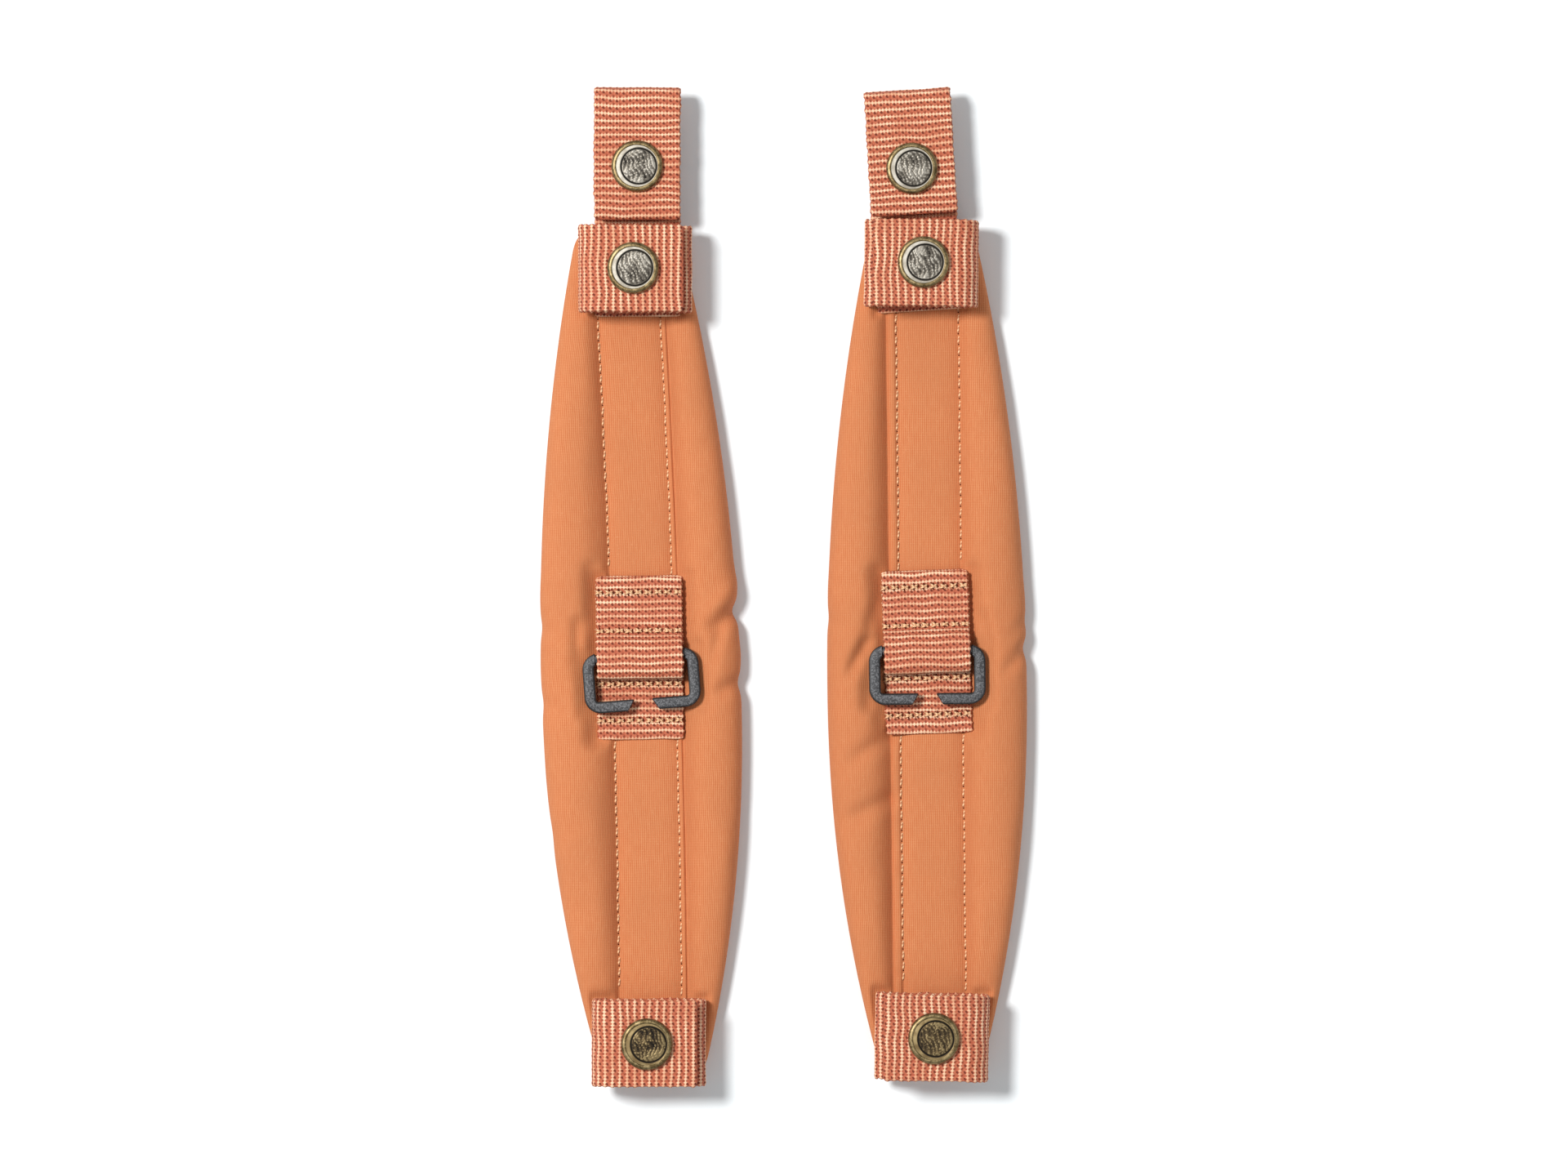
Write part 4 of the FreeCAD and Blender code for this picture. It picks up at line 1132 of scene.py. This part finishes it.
def make_hook(side, material, edge_shade_material):
    """The open hook: two bent flat arms with worn edges in painted shade, on a round crossbar."""
    place = hook_place(side)
    low, high = node_box(place, f"{side}_hook")
    half, bottom = high[0], low[1]
    half_thick = (high[2] - low[2]) / 2
    pairs = arm_stations(half, HOOK_BAR / 2, bottom, HOOK_BAR)
    points, faces, slots = [], [], []
    for mirror in (1, -1):
        base = len(points)
        for number, (outer, inner) in enumerate(pairs):
            ending = number in (0, len(pairs) - 1)
            points += [(x * mirror, y, z) for x, y, z in bar_ring(outer, inner, half_thick, ending)]
        ring = 12
        arm = ring_faces(len(pairs), ring)
        arm.append(tuple(reversed(range(ring))))
        last = (len(pairs) - 1) * ring
        arm.append(tuple(last + k for k in range(ring)))
        for face in arm:
            face = tuple(base + v for v in face)
            faces.append(face if mirror > 0 else tuple(reversed(face)))
            # the sides and bevels take the painted edge shade, the flat faces the plain coat
            flat = len(face) == 4 and {(v - base) % ring for v in face} in ({5, 6}, {11, 0})
            slots.append(0 if flat else 1)
    base = len(points)
    reach = half - HOOK_BAR + 0.5
    for x in (-reach, reach):
        for k in range(CROSSBAR_SIDES):
            turn = 2 * math.pi * k / CROSSBAR_SIDES
            points.append((x, CROSSBAR * math.cos(turn), CROSSBAR * math.sin(turn)))
    bar = ring_faces(2, CROSSBAR_SIDES)
    bar += [tuple(reversed(range(CROSSBAR_SIDES))), tuple(range(CROSSBAR_SIDES, 2 * CROSSBAR_SIDES))]
    faces += [tuple(base + v for v in face) for face in bar]
    slots += [0] * len(bar)
    piece = make_piece(f"{side}_open_hook", place.out(points), faces, [material, edge_shade_material],
                       face_materials=slots)
    outward(piece)
    piece.data.set_sharp_from_angle(angle=math.radians(40))
    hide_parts(f"{side}_hook")
    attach(piece, f"{side}_hook")


# ---------------------------------------------------------------- snaps
def lathe(name, centre, profile, materials, segments=72, shape=None, face_from=None):
    """A turned piece: profile is (radius, height) from the axis round to the axis, in millimetres.
    shape adds a height of its own at each point; rings from face_from on take the second material.
    The cloth place of each point is its added height and its radius."""
    points, uv = [], []
    for number, (radius, height) in enumerate(profile):
        for k in range(segments):
            turn = 2 * math.pi * k / segments
            x, y = radius * math.cos(turn), radius * math.sin(turn)
            extra = shape(x, y) if shape and number >= face_from else 0.0
            points.append((x, y, height + extra))
            uv.append((extra + 0.5, radius / 10))
    rings = len(profile)
    faces = ring_faces(rings, segments)
    slots = [1 if face_from is not None and k // segments >= face_from else 0 for k in range(len(faces))]
    if profile[0][0] > 0:
        faces += [((rings - 1) * segments + j, (rings - 1) * segments + (j + 1) % segments,
                   (j + 1) % segments, j) for j in range(segments)]
        slots += [0] * segments
    place = Place(centre, (1.0, 0.0))
    piece = make_piece(name, place.out(points), faces, materials, uv, True, slots)
    outward(piece, weld=True)
    piece.data.set_sharp_from_angle(angle=math.radians(50))
    return piece


def outward(piece, weld=False):
    """Faces turned outwards; with weld, points that meet on an axis become one first."""
    mesh = bmesh.new()
    mesh.from_mesh(piece.data)
    if weld:
        bmesh.ops.remove_doubles(mesh, verts=mesh.verts, dist=1e-6)
        bmesh.ops.dissolve_degenerate(mesh, edges=mesh.edges, dist=1e-7)
    bmesh.ops.recalc_face_normals(mesh, faces=mesh.faces)
    mesh.to_mesh(piece.data)
    mesh.free()


def cap_profile(radius, height):
    """From the underside's axis round the rolled rim, then across the face, which starts at the number
    that comes with the profile."""
    rim = [(0.0, 0.0), (radius - 0.7, 0.0)]
    rim += arc((radius - 0.7, 0.7), 0.7, -80, 0, 5)
    rim += arc((radius - 1.0, height - 1.0), 1.0, 0, 95, 9)
    inner = radius - CAP_RIM
    rim += [(inner + 0.12, height - 0.02), (inner + 0.02, height - 0.2)]
    face = [(inner * s, height - 0.24 + 0.22 * (1 - s * s)) for s in np.linspace(0.985, 0, CAP_RINGS)]
    return rim + face, len(rim)


def beaten(seed):
    """A cap's plain boss: a round field of furrows and beaten facets in a fine groove."""
    def height(x, y):
        away = math.hypot(x - CAP_BOSS[0], y - CAP_BOSS[1]) - CAP_BOSS[2]
        groove = -0.16 * math.exp(-(away / 0.19) ** 2)
        if away > 0:
            return groove
        near = noise.voronoi(Vector((x / 0.75, y / 0.75, seed)))[0]
        bend = noise.noise(Vector((x / 3.1, y / 3.1, seed)))
        furrow = math.sin((x + 0.4 * y) * 4.4 + 7.5 * bend + 2.0)
        fade = min(1.0, -away / 0.5)
        return groove + fade * (0.15 * min(near[1] - near[0], 0.6) + 0.03 * furrow - 0.05 + 0.09 * bend)
    return height


def socket_profile(radius, depth):
    """A ring with a rolled lower edge, closed at the top but for its middle."""
    bore = SOCKET_BORE
    return [(bore, 0.25), (bore + 0.25, 0.0), (radius - 1.6, 0.0), (radius - 1.3, 0.25), (radius - 0.5, 0.1),
            (radius - 0.1, 0.4), (radius, 0.9), (radius, depth - 0.3), (radius - 0.3, depth),
            (1.6, depth), (1.6, depth - 0.5), (bore, depth - 0.5)]


def stud_profile(radius, height):
    """A flange, a neck and a head that is a little wider and hollow at the tip."""
    neck, head = STUD_NECK, STUD_HEAD
    return [(0.0, 0.0), (radius - 0.2, 0.0), (radius, 0.2), (radius - 0.2, 0.45), (neck + 0.5, 0.5),
            (neck, 0.9), (neck + 0.02, 1.3), (head, height - 0.8), (head, height - 0.45),
            (head - 0.35, height - 0.08), (head - 0.9, height), (1.0, height), (0.8, height - 0.5),
            (0.0, height - 0.6)]


def post_profile(radius, height):
    """A thin round foot with a rivet on it."""
    return [(0.0, 0.0), (radius - 0.25, 0.0), (radius, 0.15), (radius - 0.1, 0.45), (1.5, 0.45),
            (POST_NECK, 0.8), (POST_NECK, height), (0.0, height)]


def make_snap(side, where, brass, face_metal, upper, lower, flap_top, seed):
    """A press stud: cap and socket on the flap, stud and post on what it closes on."""
    turned = {"socket": (socket_profile, upper), "stud": (stud_profile, lower), "post": (post_profile, lower)}
    pieces = []
    low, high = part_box(f"{side}_{where}_snap_cap")
    middle = (low + high) / 2
    profile, face_from = cap_profile((high.x - low.x) / 2 / MM, (high.z - flap_top) / MM)
    cap = lathe(f"{side}_{where}_cap", (middle.x, middle.y, flap_top), profile, [brass, face_metal],
                segments=CAP_SEGMENTS, shape=beaten(seed), face_from=face_from)
    pieces.append((cap, "cap", upper))
    for part, (profile_of, body) in turned.items():
        low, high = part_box(f"{side}_{where}_snap_{part}")
        middle = (low + high) / 2
        profile = profile_of((high.x - low.x) / 2 / MM, (high.z - low.z) / MM)
        piece = lathe(f"{side}_{where}_{part}", (middle.x, middle.y, low.z), profile, [brass])
        pieces.append((piece, part, body))
    for piece, part, body in pieces:
        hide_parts(f"{side}_{where}_snap_{part}")
        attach(piece, body)


# ---------------------------------------------------------------- the two pads
def things_on(side):
    """What lies on a pad's cloth: its place, its outline there, and the height kept under it."""
    laid = [(keeper_place(side), f"{side}_keeper_base", f"{side}_keeper_base"),
            (loop_place(side), f"{side}_loop_base", f"{side}_loop_base")]
    for end in ENDS:
        laid.append((band_place(side, end), f"{side}_{end}_band_folds", f"{side}_{end}_band_base"))
    found = []
    for place, outline, lowest in laid:
        low, high = node_box(place, outline)
        found.append((place, low, high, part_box(lowest)[0].z / MM - UNDER_WEBBING))
    return found


def hook_thing(side):
    """The hook, in the same form, with a little room round it."""
    place = hook_place(side)
    low, high = node_box(place, f"{side}_hook")
    low = low - np.array((0.3, 0.3, 0))
    high = high + np.array((0.3, 1.2, 0))
    return place, low, high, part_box(f"{side}_hook")[0].z / MM - UNDER_HOOK


cover_fabric = make_cover_fabric()
web = make_webbing()
thread = make_thread()
needle_hole_shade = make_needle_hole_shade()
hook_metal = make_hook_metal()
hook_edge_shade = make_hook_edge_shade()
brass = make_brass()
silvery_face = make_cap_face("silvery_face", srgb(88, 82, 74), srgb(150, 142, 128), srgb(188, 182, 170))
golden_face = make_cap_face("golden_face", srgb(66, 54, 38), srgb(116, 96, 64), srgb(160, 140, 100))

for number, side in enumerate(SIDES):
    root = f"{side}_pad"
    pad = Pad(side)
    things = things_on(side)
    padding = pad.build(cover_fabric, things + [hook_thing(side)])
    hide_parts(f"{side}_foam_core", f"{side}_front_cover", f"{side}_back_cover")
    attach(padding, root)
    sew_channels(pad, things, thread, needle_hole_shade)
    seed = 10.5 * (number + 1)
    make_loop(side, web, seed)
    for step, end in enumerate(ENDS):
        make_band(side, end, web, seed + 2 + step)
        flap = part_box(f"{side}_{end}_band_flap")[1].z
        face = silvery_face if end == "top" else golden_face
        make_snap(side, end, brass, face, f"{side}_{end}_flap", f"{side}_{end}_tab", flap, seed + step)
    make_keeper(side, web, thread, needle_hole_shade, seed + 7)
    make_hook(side, hook_metal, hook_edge_shade)
    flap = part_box(f"{side}_loop_flap")[1].z
    make_snap(side, "loop", brass, silvery_face, f"{side}_loop_upper", root, flap, seed + 4.7)


# ---------------------------------------------------------------- floor, light and camera
def make_floor():
    """A square of floor, a hair below the pads so that the two don't coincide."""
    reach, level = 2.0, -0.00005
    corners = [(x, y, level) for x, y in ((-reach, -reach), (reach, -reach), (reach, reach), (-reach, reach))]
    floor = make_piece("floor", corners, [(0, 1, 2, 3)], [make_floor_finish()], smooth=False)


def make_light(name, place, size, watts):
    """A round soft light that points at the origin."""
    data = bpy.data.lights.new(name, "AREA")
    data.shape = "DISK"
    data.size = size
    data.energy = watts
    light = bpy.data.objects.new(name, data)
    light.location = place
    light.rotation_euler = (-Vector(place)).to_track_quat("-Z", "Y").to_euler()
    bpy.context.scene.collection.objects.link(light)


def make_world(strength):
    world = bpy.data.worlds.new("studio")
    world.use_nodes = True
    background = world.node_tree.nodes["Background"]
    background.inputs["Color"].default_value = (0.94, 0.975, 1.0, 1.0)
    background.inputs["Strength"].default_value = strength
    bpy.context.scene.world = world


def make_camera():
    """Straight above the pair, with the top of the picture towards +Y."""
    low, high = cad_box
    data = bpy.data.cameras.new("camera")
    data.sensor_width = 36.0
    data.lens = data.sensor_width * CAMERA_DISTANCE / FIELD
    camera = bpy.data.objects.new("camera", data)
    camera.location = ((low.x + high.x) / 2 + CAMERA_OFF[0], (low.y + high.y) / 2 + CAMERA_OFF[1],
                       CAMERA_DISTANCE + FIELD_LEVEL)
    bpy.context.scene.collection.objects.link(camera)
    bpy.context.scene.camera = camera


make_floor()
make_world(0.40)
make_light("key", place=(-0.86, 0.40, 1.66), size=0.42, watts=35)
make_light("fill", place=(0.9, -0.6, 1.6), size=1.2, watts=3.5)
make_camera()
bpy.context.scene.view_settings.view_transform = "Standard"
